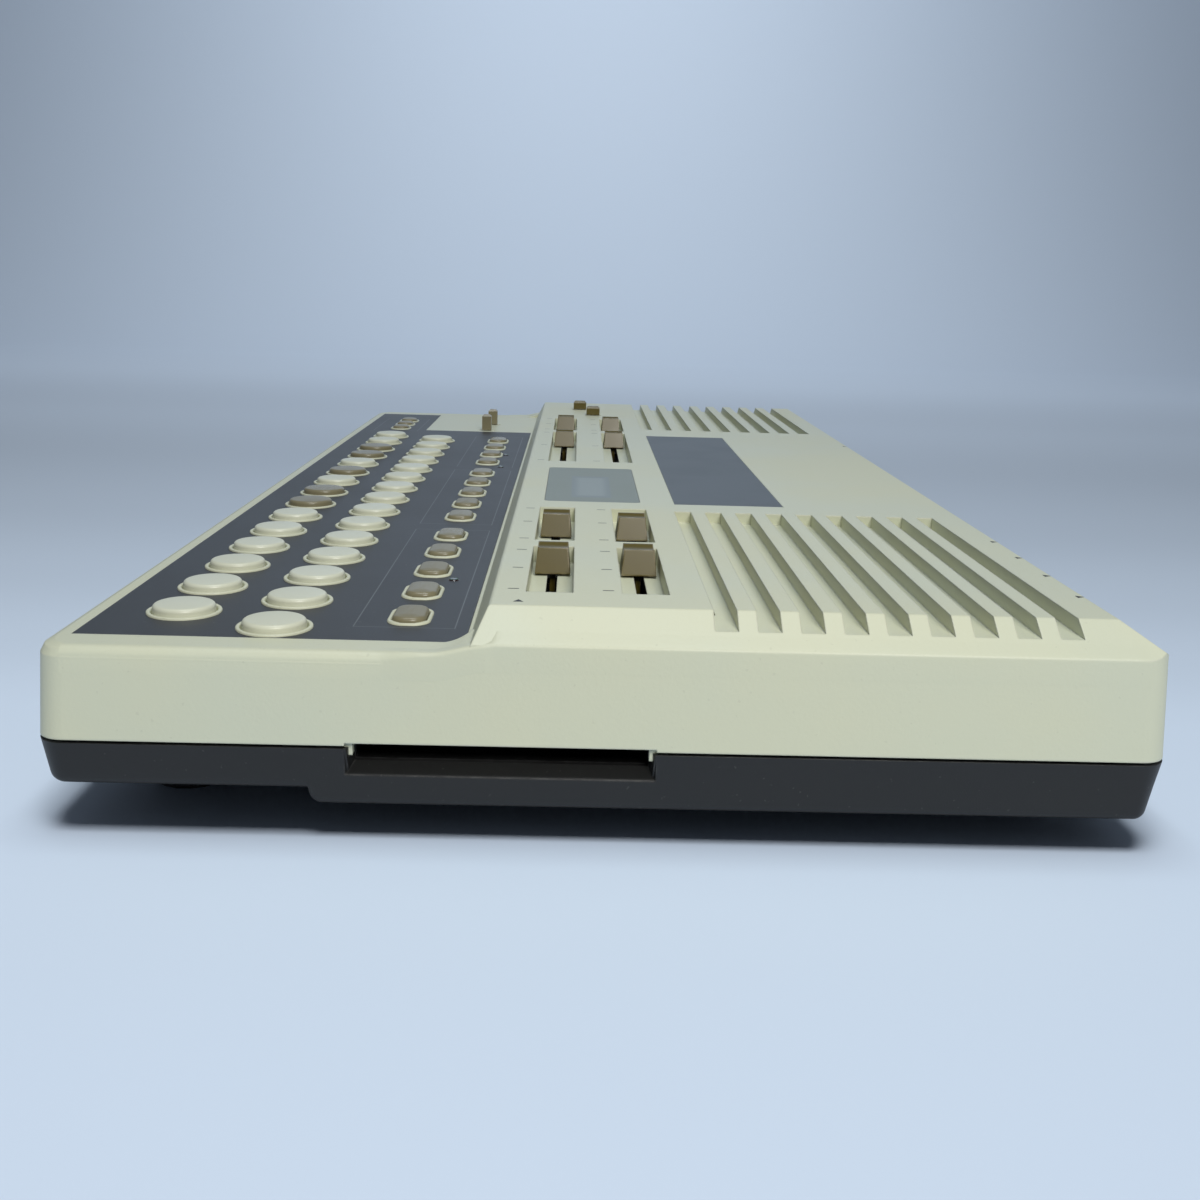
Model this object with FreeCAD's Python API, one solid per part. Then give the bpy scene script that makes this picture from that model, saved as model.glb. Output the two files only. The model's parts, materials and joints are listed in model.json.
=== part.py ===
import FreeCAD, Part
import math
import os

# Table-top rhythm machine. X runs along its length, with the card slot end at +X.
# -Y is the user's side, +Y the side with the sockets, +Z is up, and the feet stand on Z = 0.
# Lengths in millimetres, angles in degrees.

# Case
case_length = 420.0
case_width = 210.0
corner_radius = 5.6
draft_angle = 3.0
wall = 2.4
foot_height = 6.7
seam_rise = 11.8  # seam above the deep underside
seam_gap = 0.6
panel_rise = 17.5  # low area above the seam
shoulder_rise = 1.9  # outer edge of the deck's bevel above the low area
deck_rise = 7.5  # deck above the low area
bevel_run = 8.4
low_edge_radius = 2.0
deck_edge_radius = 0.8
deck_toe = 78.8  # foot of the deck's side wall, from the user's side
deck_start = 82.5  # top of that wall, from the user's side
toe_sweep = 11.2  # width of the curve where the toe meets the near end
toe_shift = 1.3  # how far its middle lies outside the foot of the side wall
step_place = 50.0  # step in the underside, from the user's side
step_rise = 3.1
lower_lean = 2.6  # how far the lower shell's sides lean in
lower_edge_radius = 3.0
step_run = 2.0

# Panel sheet
panel_thickness = 0.5
panel_rim_near = 9.6
panel_rim_user = 5.1
panel_width = 72.9
panel_corner = 4.0
panel_rim_far = 11.0
panel_stop = 74.0  # the wide part of the sheet ends this far from the far end
panel_narrow_width = 27.0
sheet_gap = 0.1

# Round keys
key_count = 15
key_pitch = 20.86
row_a_start = 27.3  # first key's centre from the near end
row_b_start = 17.1
row_a_place = 20.7  # from the user's side
row_b_place = 40.9
collar_radius = 7.05
collar_wall = 0.5
collar_rise = 0.4
guide_gap = 0.3
key_sides = 12  # round pieces that repeat are cut with this many flat sides
lamp_sides = 6
boss_sides = 8
key_rise = 2.0  # cap above the panel
key_round = 0.7
key_travel = 2.0
flange_overlap = 1.0
flange_thickness = 1.2
flange_gap = 0.1

# Small buttons
button_place = 65.8
button_start = 26.9
button_length = 13.0  # outside of the collar
button_width = 8.3
button_gap_step = 6.9  # extra step between two groups
button_rise = 1.6
button_travel = 1.2
mode_inset = 69.5  # first mode button, from the far end
mode_pitch = 14.5
mode_count = 3
mode_length = 10.5
oblong_corner = 0.33
strip_margin = 0.5
button_ease = 0.5
lamp_radius = 1.0
lamp_place = 71.2
lamp_distances = (60.4, 239.3, 271.6)

# Circuit board and rubber mat
board_thickness = 1.6
board_near_gap = 8.0
board_far_gap = 18.0
board_user_gap = 12.6
board_width = 105.9
mat_thickness = 0.8
dome_height = 1.2
dome_radius = 5.0
dome_sides = 6
dome_margin = 2.0
pad_length = 6.0
pad_width = 4.0
press_gap = 0.2
post_radius = 2.6
post_shift = 1.0
post_end_insets = (16.5, 28.0)  # end posts, from the near end and from the far end
post_distances = (151.0, 266.0)
inner_post_distances = (68.0, 291.5)
chip_depth = 3.0
# chips: near end, user side, length and width, from the case's near end and user side
chips = ((70, 30, 36, 14), (150, 30, 36, 14), (235, 45, 22, 22), (320, 32, 30, 12))
lamp_rise = 0.3

# Slide controls
slider_columns = (93.5, 112.3)  # from the user's side
tracks = ((20.2, 44.3), (71.5, 44.3), (205.0, 83.0), (295.0, 44.3))  # near end and length of each well
well_width = 9.2
well_depth = 3.8
well_wall = 1.5
well_end_gap = 1.9  # left beside the cap at the end of its travel
slot_width = 2.2
slot_end_gap = 0.6
blade_width = 1.2
blade_length = 4.0
blade_gap = 1.0  # under the blade, in the control
cap_length = 10.5
cap_width = 7.7
cap_top_length = 7.0
cap_top_width = 6.6
cap_height = 5.5
cap_lift = 0.5
cap_dish = 0.7
cap_rim = 1.3  # left flat at both ends of the dish, taken together
control_width = 9.0
control_height = 7.0
control_end = 2.0
control_slot = 1.8
control_slot_depth = 4.0
# rest places of the caps: their centres from the near end, one row for each column
slider_rests = ((55.6, 97.1, 274.0, 328.6), (55.6, 94.5, 274.0, 326.4))

# Lever switches
# places: from the far end and from the user's side
lever_low_places = ((68.0, 58.4), (45.0, 59.6))
lever_deck_places = ((64.3, 105.2), (40.0, 99.4))
lever_low_size = (4.0, 4.0, 7.0)
lever_deck_size = (4.0, 5.8, 4.0)
lever_travel = 4.0
lever_ease = 0.8
lever_neck_width = 2.4
lever_neck_length = 2.0
switch_length = 14.0
switch_width = 8.0
switch_height = 5.0
switch_floor = 2.0

# Display window and plate
window_start = 125.9
window_length = 64.0
window_place = 89.8
window_width = 26.0
window_thickness = 1.5
window_corner = 1.5
glass_start = 133.0
glass_length = 39.0
glass_width = 11.2
module_margin = 3.0
module_thickness = 6.0
plate_start = 125.0
plate_length = 157.0
plate_place = 125.3
plate_width = 29.6
plate_thickness = 0.6

# Grilles
groove_pitch = 8.02
groove_width = 4.4
groove_depth = 3.0
groove_far_side = 128.7  # rear wall of the first groove, from the user's side
groove_rear_margin = 17.0  # as many grooves as fit in front of this margin
groove_reaches = (113.5, 116.4)  # closed ends, from the near end and from the far end
groove_floor = 1.6
slit_width = 1.2
slit_inset = 6.0

# Card slot
slot_place = 85.5
card_width = 54.0
card_clearance = 0.35
slot_height = 4.5
slot_lead = 1.3
slot_lip = 2.3
slot_rise = 0.5  # notch in the upper shell above the seam
cheek_drop = 2.2
cheek_depth = 2.2
socket_depth = 78.0
socket_wall = 3.0
socket_floor = 1.6
socket_gap = 0.3
contact_bar = 5.0
rail_shares = (0.15, 0.5, 0.85)

# Speakers
speaker_distance = 60.0
speaker_sides = 24
speaker_margin = 1.3  # inside the depth of the grille
speaker_rim = 2.0
speaker_depth = 22.0
magnet_radius = 17.0
magnet_height = 8.0
cone_rim = 4.0
cone_depth = 7.0
dust_cap_radius = 8.0

# Rear sockets
jack_distances = (27.0, 45.6, 64.2, 82.8, 265.0)
jack_bore = 3.2
jack_collar = 4.8
jack_body = 13.0
jack_depth = 18.0
jack_rise = 10.0  # axis above the seam
jack_gap = 0.1
jack_sides = 12
bore_depth = 15.0

# Screws, bosses and feet
boss_radius = 4.4
upper_boss_radius = 3.4
screw_head_radius = 2.8
screw_head_height = 1.8
screw_shank = 1.4
screw_head_sink = 5.0
screw_bite = 9.0
screw_gap = 0.15
screw_sides = 6
side_boss_inset = 8.7  # from the user's side and from the rear side
middle_boss_place = 122.5
end_boss_inset = 16.0  # from each end
rear_boss_distance = 150.0
middle_boss_distances = (122.5, 330.0)
foot_radius = 8.0
foot_sides = 16
foot_ease = 0.8
foot_pad_margin = 2.0
foot_inset_x = 30.0
foot_inset_y = 20.0

# Small allowances of the construction
overlap = 0.5  # how far joined blocks run into each other
skim = 0.2
break_out = 1.0  # how far a cut runs past a surface
ease_share = 0.3  # where the middle of an eased edge lies

# Places and levels worked out from the sizes above
half_length = case_length / 2
half_width = case_width / 2
deep_floor = foot_height
shallow_floor = deep_floor + step_rise
seam = deep_floor + seam_rise
low_top = seam + panel_rise
shoulder = low_top + shoulder_rise
deck_top = low_top + deck_rise
low_ceiling = low_top - panel_thickness - wall
deck_ceiling = deck_top - wall
draft = math.tan(math.radians(draft_angle))
flange_top = low_ceiling - flange_gap
key_bottom = flange_top - flange_thickness
board_top = key_bottom - key_travel - press_gap - dome_height - mat_thickness
board_bottom = board_top - board_thickness
hole_radius = collar_radius - collar_wall
key_radius = hole_radius - guide_gap
flange_radius = hole_radius + flange_overlap
slot_inner = card_width + 2 * card_clearance
slot_top = seam + slot_rise
slot_bottom = slot_top - slot_height
mode_start = case_length - mode_inset
panel_long = case_length - panel_rim_near - panel_rim_far
panel_short = case_length - panel_rim_near - panel_stop
front_boss_place = side_boss_inset
rear_boss_place = case_width - side_boss_inset
front_boss_distances = (end_boss_inset, half_length, case_length - end_boss_inset)
rear_boss_distances = (end_boss_inset, rear_boss_distance, case_length - end_boss_inset)
groove_count = 1 + int((case_width - groove_rear_margin - groove_far_side) / groove_pitch)
grille_depth = (groove_count - 1) * groove_pitch + groove_width
speaker_place = groove_far_side - groove_width + grille_depth / 2
speaker_radius = grille_depth / 2 - speaker_margin
cone_radius = speaker_radius - cone_rim


def along(distance):
    """X of a point, from its distance to the near end."""
    return half_length - distance


def across(distance):
    """Y of a point, from its distance to the user's side."""
    return distance - half_width


def save(shape, name):
    shape.exportStep(os.path.join("parts", name + ".step"))


def box(x_low, x_high, y_low, y_high, z_low, z_high):
    size = (x_high - x_low, y_high - y_low, z_high - z_low)
    return Part.makeBox(*size, FreeCAD.Vector(x_low, y_low, z_low))


def post(x, y, z_low, z_high, radius):
    return Part.makeCylinder(radius, z_high - z_low, FreeCAD.Vector(x, y, z_low))


def rounded_wire(x_low, x_high, y_low, y_high, radius, z):
    """Closed wire of a rectangle with round corners."""
    corners = [
        (x_high - radius, y_high - radius, 0),
        (x_low + radius, y_high - radius, 90),
        (x_low + radius, y_low + radius, 180),
        (x_high - radius, y_low + radius, 270),
    ]
    edges = []
    ends = []
    for x, y, turn in corners:
        points = []
        for angle in (turn, turn + 45, turn + 90):
            a = math.radians(angle)
            points.append(FreeCAD.Vector(x + radius * math.cos(a), y + radius * math.sin(a), z))
        if ends:
            edges.append(Part.LineSegment(ends[-1], points[0]).toShape())
        edges.append(Part.Arc(*points).toShape())
        ends.append(points[2])
    first = edges[0].Vertexes[0].Point
    edges.append(Part.LineSegment(ends[-1], first).toShape())
    return Part.Wire(edges)


def cut_wire(x, y, cut, z):
    """Closed wire of a rectangle about the middle, with its corners cut off straight."""
    corners = [
        (x, y - cut), (x - cut, y), (cut - x, y), (-x, y - cut),
        (-x, cut - y), (cut - x, -y), (x - cut, -y), (x, cut - y),
    ]
    points = [FreeCAD.Vector(a, b, z) for a, b in corners]
    return Part.makePolygon(points + points[:1])


def rounded_block(x_low, x_high, y_low, y_high, radius, z_low, z_high):
    face = Part.Face(rounded_wire(x_low, x_high, y_low, y_high, radius, z_low))
    return face.extrude(FreeCAD.Vector(0, 0, z_high - z_low))


def skin(low, high):
    """Solid between two wires with matching edges. Straight sides become true planes."""
    faces = [Part.Face(low), Part.Face(high)]
    for below, above in zip(low.Edges, high.Edges):
        if isinstance(below.Curve, Part.Line):
            a, b = [v.Point for v in below.Vertexes]
            d, c = [v.Point for v in above.Vertexes]
            faces.append(Part.Face(Part.makePolygon([a, b, c, d, a])))
        else:
            faces.append(Part.makeRuledSurface(below, above))
    shell = Part.makeShell(faces)
    shell.sewShape()
    solid = Part.Solid(shell)
    if solid.Volume < 0:
        solid.reverse()
    return solid


def tapered_block(z_low, inset_low, z_high, inset_high, radius, straight=False):
    """Case-sized block whose sides are drawn in by one inset below and another above."""
    wires = []
    for z, inset in ((z_low, inset_low), (z_high, inset_high)):
        x = half_length - inset
        y = half_width - inset
        wires.append(cut_wire(x, y, radius, z) if straight else rounded_wire(-x, x, -y, y, radius, z))
    return skin(*wires)


def stacked_blocks(steps, radius, straight=False):
    """Tapered blocks on top of each other, through a list of heights and insets."""
    blocks = []
    for (z_low, inset_low), (z_high, inset_high) in zip(steps, steps[1:]):
        blocks.append(tapered_block(z_low, inset_low, z_high, inset_high, radius, straight))
    return blocks[0].multiFuse(blocks[1:])


def prism(points, vector):
    """Solid of a closed outline, pushed along a vector."""
    wire = Part.makePolygon([FreeCAD.Vector(*p) for p in points + points[:1]])
    return Part.Face(wire).extrude(FreeCAD.Vector(*vector))


def many_sided(x, y, z_low, z_high, radius, sides, ease=0):
    """Upright block with flat sides; its top edges can be eased."""
    corners = []
    for i in range(sides):
        a = 2 * math.pi * (i + 0.5) / sides
        corners.append((x + radius * math.cos(a), y + radius * math.sin(a), z_low))
    block = prism(corners, (0, 0, z_high - z_low))
    if ease:
        block = block.makeChamfer(ease, [e for e in block.Edges if is_level(e, z_high)])
    return block


def upper_inset(z):
    return (z - seam) * draft


def round_edges(shape, radius, wanted):
    """Fillets the edges that the test function picks."""
    edges = [e for e in shape.Edges if wanted(e)]
    return shape.makeFillet(radius, edges)


def is_level(edge, z):
    return all(abs(v.Point.z - z) < 0.01 for v in edge.Vertexes)


def upper_steps(z):
    """Heights and insets of the upper shell's wall, up to a top edge eased in two steps."""
    ease = low_edge_radius
    side = upper_inset(z - ease)
    part = ease * ease_share
    return [(seam, 0), (z - ease, side), (z - part, side + part), (z, side + ease)]


def key_centres(row):
    start, place = ((row_a_start, row_a_place), (row_b_start, row_b_place))[row]
    return [(along(start + i * key_pitch), across(place)) for i in range(key_count)]


def button_groups():
    """Centres of the small buttons, one list for each strip."""
    groups = []
    distance = button_start
    for count in (5, 5, 4):
        groups.append([(along(distance + i * key_pitch), across(button_place)) for i in range(count)])
        distance += count * key_pitch + button_gap_step
    return groups


def mode_centres():
    return [(along(mode_start + i * mode_pitch), across(row_a_place)) for i in range(mode_count)]


def oblong(x, y, length, width, z_low, z_high):
    """Upright block with cut corners, centred on a point."""
    wire = cut_wire(length / 2, width / 2, width * oblong_corner, 0)
    wire.translate(FreeCAD.Vector(x, y, z_low))
    return Part.Face(wire).extrude(FreeCAD.Vector(0, 0, z_high - z_low))


def every_button():
    """Each small button's centre with its collar's length."""
    places = [(x, y, button_length) for group in button_groups() for x, y in group]
    return places + [(x, y, mode_length) for x, y in mode_centres()]


def round_tools(radius, z_low, z_high):
    """One many-sided block at each round key, its sides as far out as the radius."""
    reach = radius / math.cos(math.pi / key_sides)
    places = key_centres(0) + key_centres(1)
    return [many_sided(x, y, z_low, z_high, reach, key_sides) for x, y in places]


def button_tools(inset, z_low, z_high):
    tools = []
    for x, y, length in every_button():
        tools.append(oblong(x, y, length - 2 * inset, button_width - 2 * inset, z_low, z_high))
    return tools


def lamp_tools(radius, z_low, z_high):
    y = across(lamp_place)
    return [many_sided(along(d), y, z_low, z_high, radius, lamp_sides) for d in lamp_distances]


def panel_block(z_low, z_high, grow):
    """L-shaped sheet outline: long on the user's side, short beside the deck."""
    x_high = along(panel_rim_near) + grow
    y_low = across(panel_rim_user) - grow
    y_high = y_low + panel_width + 2 * grow
    x_stop = x_high - panel_short - 2 * grow
    near = rounded_block(x_stop, x_high, y_low, y_high, panel_corner, z_low, z_high)
    square = box(x_high - 2 * panel_corner, x_high, y_low, y_low + 2 * panel_corner, z_low, z_high)
    inner = box(x_stop, along(mode_start) + mode_length, y_low, y_high, z_low, z_high)
    y_narrow = y_low + panel_narrow_width + 2 * grow
    x_far = x_high - panel_long - 2 * grow
    arm = box(x_far, along(mode_start) + mode_length, y_low, y_narrow, z_low, z_high)
    return near.multiFuse([square, inner, arm]).removeSplitter()


def lever_places():
    """Centre, the level of the surface around it, and the finger piece's size, for each lever."""
    places = [(d - half_length, across(p), low_top, lever_low_size) for d, p in lever_low_places]
    places += [(d - half_length, across(p), deck_top, lever_deck_size) for d, p in lever_deck_places]
    return places


def boss_places():
    """Screw bosses: centre and the ceiling that each one hangs from."""
    places = [(along(d), across(front_boss_place), low_ceiling) for d in front_boss_distances]
    rear_ceiling = (shoulder + deck_top - wall) / 2
    places += [(along(d), across(rear_boss_place), rear_ceiling) for d in rear_boss_distances]
    places += [(along(d), across(middle_boss_place), deck_ceiling) for d in middle_boss_distances]
    return places


def board_posts():
    """Posts that carry the board: beside the small buttons and between the slide controls."""
    outer = (row_b_place + button_place) / 2 + post_shift
    inner = sum(slider_columns) / 2
    near, far = post_end_insets
    distances = (near,) + post_distances + (case_length - far,)
    places = [(along(d), across(outer), low_ceiling) for d in distances]
    return places + [(along(d), across(inner), deck_ceiling) for d in inner_post_distances]


def well_places():
    """Near and far X and the centre Y of each slider well, in the order of the sliders."""
    places = []
    for start, length in tracks:
        for c in slider_columns:
            places.append((along(start), along(start + length), across(c)))
    return places


def upper_outer():
    """Outside of the upper shell, with the raised deck."""
    low = stacked_blocks(upper_steps(low_top), corner_radius)
    tall = tapered_block(seam, 0, deck_top, upper_inset(deck_top), corner_radius)
    edge_x = half_length - upper_inset(shoulder)
    edge_y = half_width - upper_inset(shoulder)
    base = seam + wall
    across_profile = [
        (-half_length, across(deck_toe), base),
        (-half_length, across(deck_toe), low_top),
        (-half_length, across(deck_start), deck_top),
        (-half_length, edge_y - bevel_run, deck_top),
        (-half_length, edge_y, shoulder),
        (-half_length, half_width, shoulder),
        (-half_length, half_width, base),
    ]
    along_profile = [
        (-half_length, -half_width, base),
        (-half_length, -half_width, shoulder),
        (-edge_x, -half_width, shoulder),
        (bevel_run - edge_x, -half_width, deck_top),
        (edge_x - bevel_run, -half_width, deck_top),
        (edge_x, -half_width, shoulder),
        (half_length, -half_width, shoulder),
        (half_length, -half_width, base),
    ]
    deck = prism(across_profile, (case_length, 0, 0))
    deck = deck.common(prism(along_profile, (0, case_width, 0)))
    deck = round_edges(deck, deck_edge_radius, lambda e: is_level(e, deck_top))
    deck = deck.common(tall)
    return low.multiFuse([deck] + deck_toes()).removeSplitter()


def deck_toes():
    """Swept toes that carry the deck's side wall out to both short ends."""
    middle = across(deck_toe) - toe_shift
    start = middle - toe_sweep / 2
    end = middle + toe_sweep / 2
    bend = shoulder_rise / 8
    rise = shoulder_rise
    foot = low_top - wall
    points = [
        FreeCAD.Vector(0, start, low_top),
        FreeCAD.Vector(0, (start + middle) / 2, low_top + bend),
        FreeCAD.Vector(0, middle, low_top + rise / 2),
        FreeCAD.Vector(0, (end + middle) / 2, low_top + rise - bend),
        FreeCAD.Vector(0, end, low_top + rise),
        FreeCAD.Vector(0, end, foot),
        FreeCAD.Vector(0, start, foot),
    ]
    edges = [
        Part.Arc(*points[:3]).toShape(),
        Part.Arc(*points[2:5]).toShape(),
        Part.LineSegment(points[4], points[5]).toShape(),
        Part.LineSegment(points[5], points[6]).toShape(),
        Part.LineSegment(points[6], points[0]).toShape(),
    ]
    face = Part.Face(Part.Wire(edges))
    reach = panel_rim_near + panel_corner
    near = face.extrude(FreeCAD.Vector(reach, 0, 0))
    near.translate(FreeCAD.Vector(half_length - reach, 0, 0))
    round_x = along(panel_rim_near) - panel_corner
    round_y = across(panel_rim_user) + panel_width - panel_corner
    reach = panel_corner + deck_toe - panel_rim_user - panel_width
    clear = post(round_x, round_y, foot, shoulder + wall, reach)
    near = near.cut(clear)
    inside = tapered_block(seam, 0, shoulder + wall, upper_inset(shoulder + wall), corner_radius)
    near = near.common(inside)
    far = face.extrude(FreeCAD.Vector(panel_rim_near, 0, 0))
    far.translate(FreeCAD.Vector(-half_length, 0, 0))
    far = far.common(inside)
    return [near, far]


def upper_cavity():
    """Space inside the upper shell: low over the keys, high under the deck."""
    inset = wall + upper_inset(low_ceiling)
    low = tapered_block(seam - wall, wall, low_ceiling, inset, corner_radius - wall, True)
    edge = upper_inset(shoulder) + wall
    inner_toe = across(deck_toe) + wall
    inner_deck = across(deck_start) + wall / 2
    top_inset = edge + bevel_run - wall / 2
    levels = [
        (low_ceiling - wall, edge, inner_toe),
        (shoulder - wall, edge, inner_toe),
        (deck_ceiling, top_inset, inner_deck),
    ]
    high = []
    for below, above in zip(levels, levels[1:]):
        wires = []
        for z, inset, toe in (below, above):
            x = half_length - inset
            corners = [(-x, toe, z), (x, toe, z), (x, half_width - inset, z), (-x, half_width - inset, z)]
            wires.append(Part.makePolygon([FreeCAD.Vector(*c) for c in corners + corners[:1]]))
        high.append(skin(*wires))
    return low.multiFuse(high)


def grille_boxes(inset_floor):
    """Grooves of both grilles, or with True the slits in their floors."""
    boxes = []
    for i in range(groove_count):
        y_high = across(groove_far_side + i * groove_pitch)
        y_low = y_high - groove_width
        for side, reach in zip((1, -1), groove_reaches):
            x_closed = side * (half_length - reach)
            x_open = side * half_length
            if inset_floor:
                x_closed += side * slit_inset
                x_open -= side * (bevel_run + wall + slit_inset)
                z_low = deck_top - groove_depth - 2 * groove_floor
                z_high = deck_top - groove_depth + groove_floor
                y_top = y_low + slit_width
            else:
                z_low = deck_top - groove_depth
                z_high = deck_top + wall
                y_top = y_high
            boxes.append(box(min(x_closed, x_open), max(x_closed, x_open), y_low, y_top, z_low, z_high))
    return boxes


def grille_backing(outer):
    """Thick floor under each grille, kept inside the shell's outside."""
    margin = groove_pitch - groove_width
    y_low = across(groove_far_side) - groove_width - margin
    y_high = across(groove_far_side + (groove_count - 1) * groove_pitch) + margin
    bottom = deck_top - groove_depth - groove_floor
    blocks = []
    for side, reach in zip((1, -1), groove_reaches):
        x_in = side * (half_length - reach - wall)
        x_out = side * (half_length - wall / 2)
        block = box(min(x_in, x_out), max(x_in, x_out), y_low, y_high, bottom, deck_top)
        blocks.append(block.common(outer))
    return blocks


def make_top_case():
    outer = upper_outer()
    shell = outer.cut(upper_cavity())
    adds = grille_backing(outer)
    well_bottom = deck_top - well_depth - well_wall
    for x_near, x_far, y in well_places():
        half = well_width / 2 + well_wall
        x_low = x_far - well_wall
        x_high = x_near + well_wall
        adds.append(box(x_low, x_high, y - half, y + half, well_bottom, deck_ceiling + overlap))
    for x, y, ceiling in boss_places():
        adds.append(many_sided(x, y, seam, ceiling + overlap, upper_boss_radius, boss_sides))
    for x, y, ceiling in board_posts():
        adds.append(many_sided(x, y, board_top, ceiling + overlap, post_radius, boss_sides))
    shell = shell.multiFuse(adds)
    recess = low_top - panel_thickness
    shell = shell.cut(panel_block(recess, low_top + wall, sheet_gap))
    collar_top = low_top + collar_rise
    shell = shell.multiFuse(round_tools(collar_radius, recess - skim, collar_top))
    shell = shell.multiFuse(button_tools(0, recess - skim, collar_top))
    holes = round_tools(hole_radius, low_ceiling - break_out, collar_top + break_out)
    holes += button_tools(collar_wall, low_ceiling - break_out, collar_top + break_out)
    holes += lamp_tools(lamp_radius + guide_gap, low_ceiling - break_out, collar_top)
    shell = shell.cut(Part.makeCompound(holes))
    holes = []
    for x_near, x_far, y in well_places():
        half = well_width / 2
        holes.append(box(x_far, x_near, y - half, y + half, deck_top - well_depth, deck_top + wall))
        end = slot_end()
        half = slot_width / 2
        holes.append(box(x_far + end, x_near - end, y - half, y + half, well_bottom - break_out, deck_top))
    for x, y, level, size in lever_places():
        holes.append(lever_slot(x, y, level - 2 * wall, level + wall))
    holes += window_tools()
    holes.append(plate_tool())
    shell = shell.cut(Part.makeCompound(holes))
    shell = shell.cut(Part.makeCompound(grille_boxes(False)))
    shell = shell.cut(Part.makeCompound(grille_boxes(True)))
    holes = []
    for d in jack_distances:
        holes.append(lying_block(along(d), half_width - 2 * wall, half_width + wall, jack_collar + jack_gap))
    bore = screw_shank + screw_gap
    for x, y, ceiling in boss_places():
        holes.append(many_sided(x, y, seam - break_out, seam + screw_bite + break_out, bore, boss_sides))
    for x, y, ceiling in board_posts():
        holes.append(many_sided(x, y, board_top - break_out, board_top + screw_bite / 2, bore, boss_sides))
    half = slot_inner / 2 + slot_lead
    y_slot = across(slot_place)
    x_out = half_length + break_out
    holes.append(box(half_length - 2 * wall, x_out, y_slot - half, y_slot + half, seam - break_out, slot_top))
    shell = shell.cut(Part.makeCompound(holes))
    cheeks = []
    for side in (-1, 1):
        y_in = y_slot + side * slot_inner / 2
        y_out = y_slot + side * (half + skim)
        x_out = half_length - slot_lead
        low = seam - cheek_drop
        high = slot_top + skim
        cheeks.append(box(x_out - cheek_depth, x_out, min(y_in, y_out), max(y_in, y_out), low, high))
    return shell.multiFuse(cheeks).removeSplitter()


def window_tools():
    x_high = along(window_start)
    x_low = x_high - window_length
    y_low = across(window_place)
    y_high = y_low + window_width
    seat = rounded_block(
        x_low - sheet_gap,
        x_high + sheet_gap,
        y_low - sheet_gap,
        y_high + sheet_gap,
        window_corner,
        deck_top - window_thickness,
        deck_top + wall,
    )
    y_mid = (y_low + y_high) / 2
    glass_near = along(glass_start)
    light = box(
        glass_near - glass_length,
        glass_near,
        y_mid - glass_width / 2,
        y_mid + glass_width / 2,
        deck_ceiling - wall,
        deck_top,
    )
    return [seat, light]


def plate_tool():
    x_high = along(plate_start) + sheet_gap
    x_low = x_high - plate_length - 2 * sheet_gap
    y_low = across(plate_place) - sheet_gap
    y_high = y_low + plate_width + 2 * sheet_gap
    return box(x_low, x_high, y_low, y_high, deck_top - plate_thickness, deck_top + wall)


def lower_block(floor, inset):
    """Lower shell's block down to one floor, its bottom edge eased in two steps."""
    top = seam - seam_gap + (wall if inset else 0)
    lean = lower_lean / seam_rise
    ease = lower_edge_radius - inset
    foot = inset + (top - floor - ease) * lean
    part = ease * ease_share
    steps = [(floor, foot + ease), (floor + part, foot + part), (floor + ease, foot), (top, inset)]
    return stacked_blocks(steps, corner_radius - inset, inset > 0)


def lower_solid(inset):
    """Lower shell with its stepped underside, or its inside when inset by the wall."""
    shallow = shallow_floor + inset
    deep = deep_floor + inset
    y_step = across(step_place) + inset
    points = [
        (-half_length, y_step, shallow + step_rise),
        (-half_length, y_step, shallow),
        (-half_length, y_step + step_run, deep),
        (-half_length, y_step + step_run, deep - break_out),
        (-half_length, half_width, deep - break_out),
        (-half_length, half_width, shallow + step_rise),
    ]
    keep = prism(points, (case_length, 0, 0))
    deep_block = lower_block(deep, inset).common(keep)
    return lower_block(shallow, inset).fuse(deep_block).removeSplitter()


def make_bottom_case():
    shell = lower_solid(0).cut(lower_solid(wall))
    adds = []
    for x, y, ceiling in boss_places():
        floor = deep_floor if y > across(step_place) else shallow_floor
        adds.append(many_sided(x, y, floor + wall / 2, seam, boss_radius, boss_sides))
    for x, y in foot_places():
        if y < across(step_place):
            pad = foot_radius + foot_pad_margin
            adds.append(many_sided(x, y, deep_floor, shallow_floor + wall / 2, pad, foot_sides))
    adds += socket_rails()
    shell = shell.multiFuse(adds)
    cuts = []
    for x, y, ceiling in boss_places():
        floor = deep_floor if y > across(step_place) else shallow_floor
        room = screw_head_radius + 2 * screw_gap
        cuts.append(many_sided(x, y, floor - break_out, floor + screw_head_sink, room, boss_sides))
        cuts.append(many_sided(x, y, floor, seam + break_out, screw_shank + screw_gap, boss_sides))
    cuts += slot_tools()
    shell = shell.cut(Part.makeCompound(cuts))
    return shell.removeSplitter()


def slot_tools():
    """Card slot through the lower shell's end wall, with its sloping lead-in."""
    y = across(slot_place)
    half = slot_inner / 2
    wide = half + slot_lead
    face = half_length + break_out
    top = seam + break_out
    throat = box(half_length - 4 * wall, face, y - half, y + half, slot_bottom, top)
    inner = half_length - slot_lip - slot_lead
    wires = []
    for x, reach, low in ((face, wide, slot_bottom - slot_lip), (inner, half, slot_bottom)):
        corners = [(x, y - reach, low), (x, y + reach, low), (x, y + reach, top), (x, y - reach, top)]
        wires.append(Part.makePolygon([FreeCAD.Vector(*c) for c in corners + corners[:1]]))
    x_high = half_length - slot_lead + sheet_gap
    low = seam - cheek_drop - skim
    cheek_room = box(half_length - 2 * wall, x_high, y - wide, y + wide, low, top)
    return [throat, skin(*wires), cheek_room]


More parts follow.
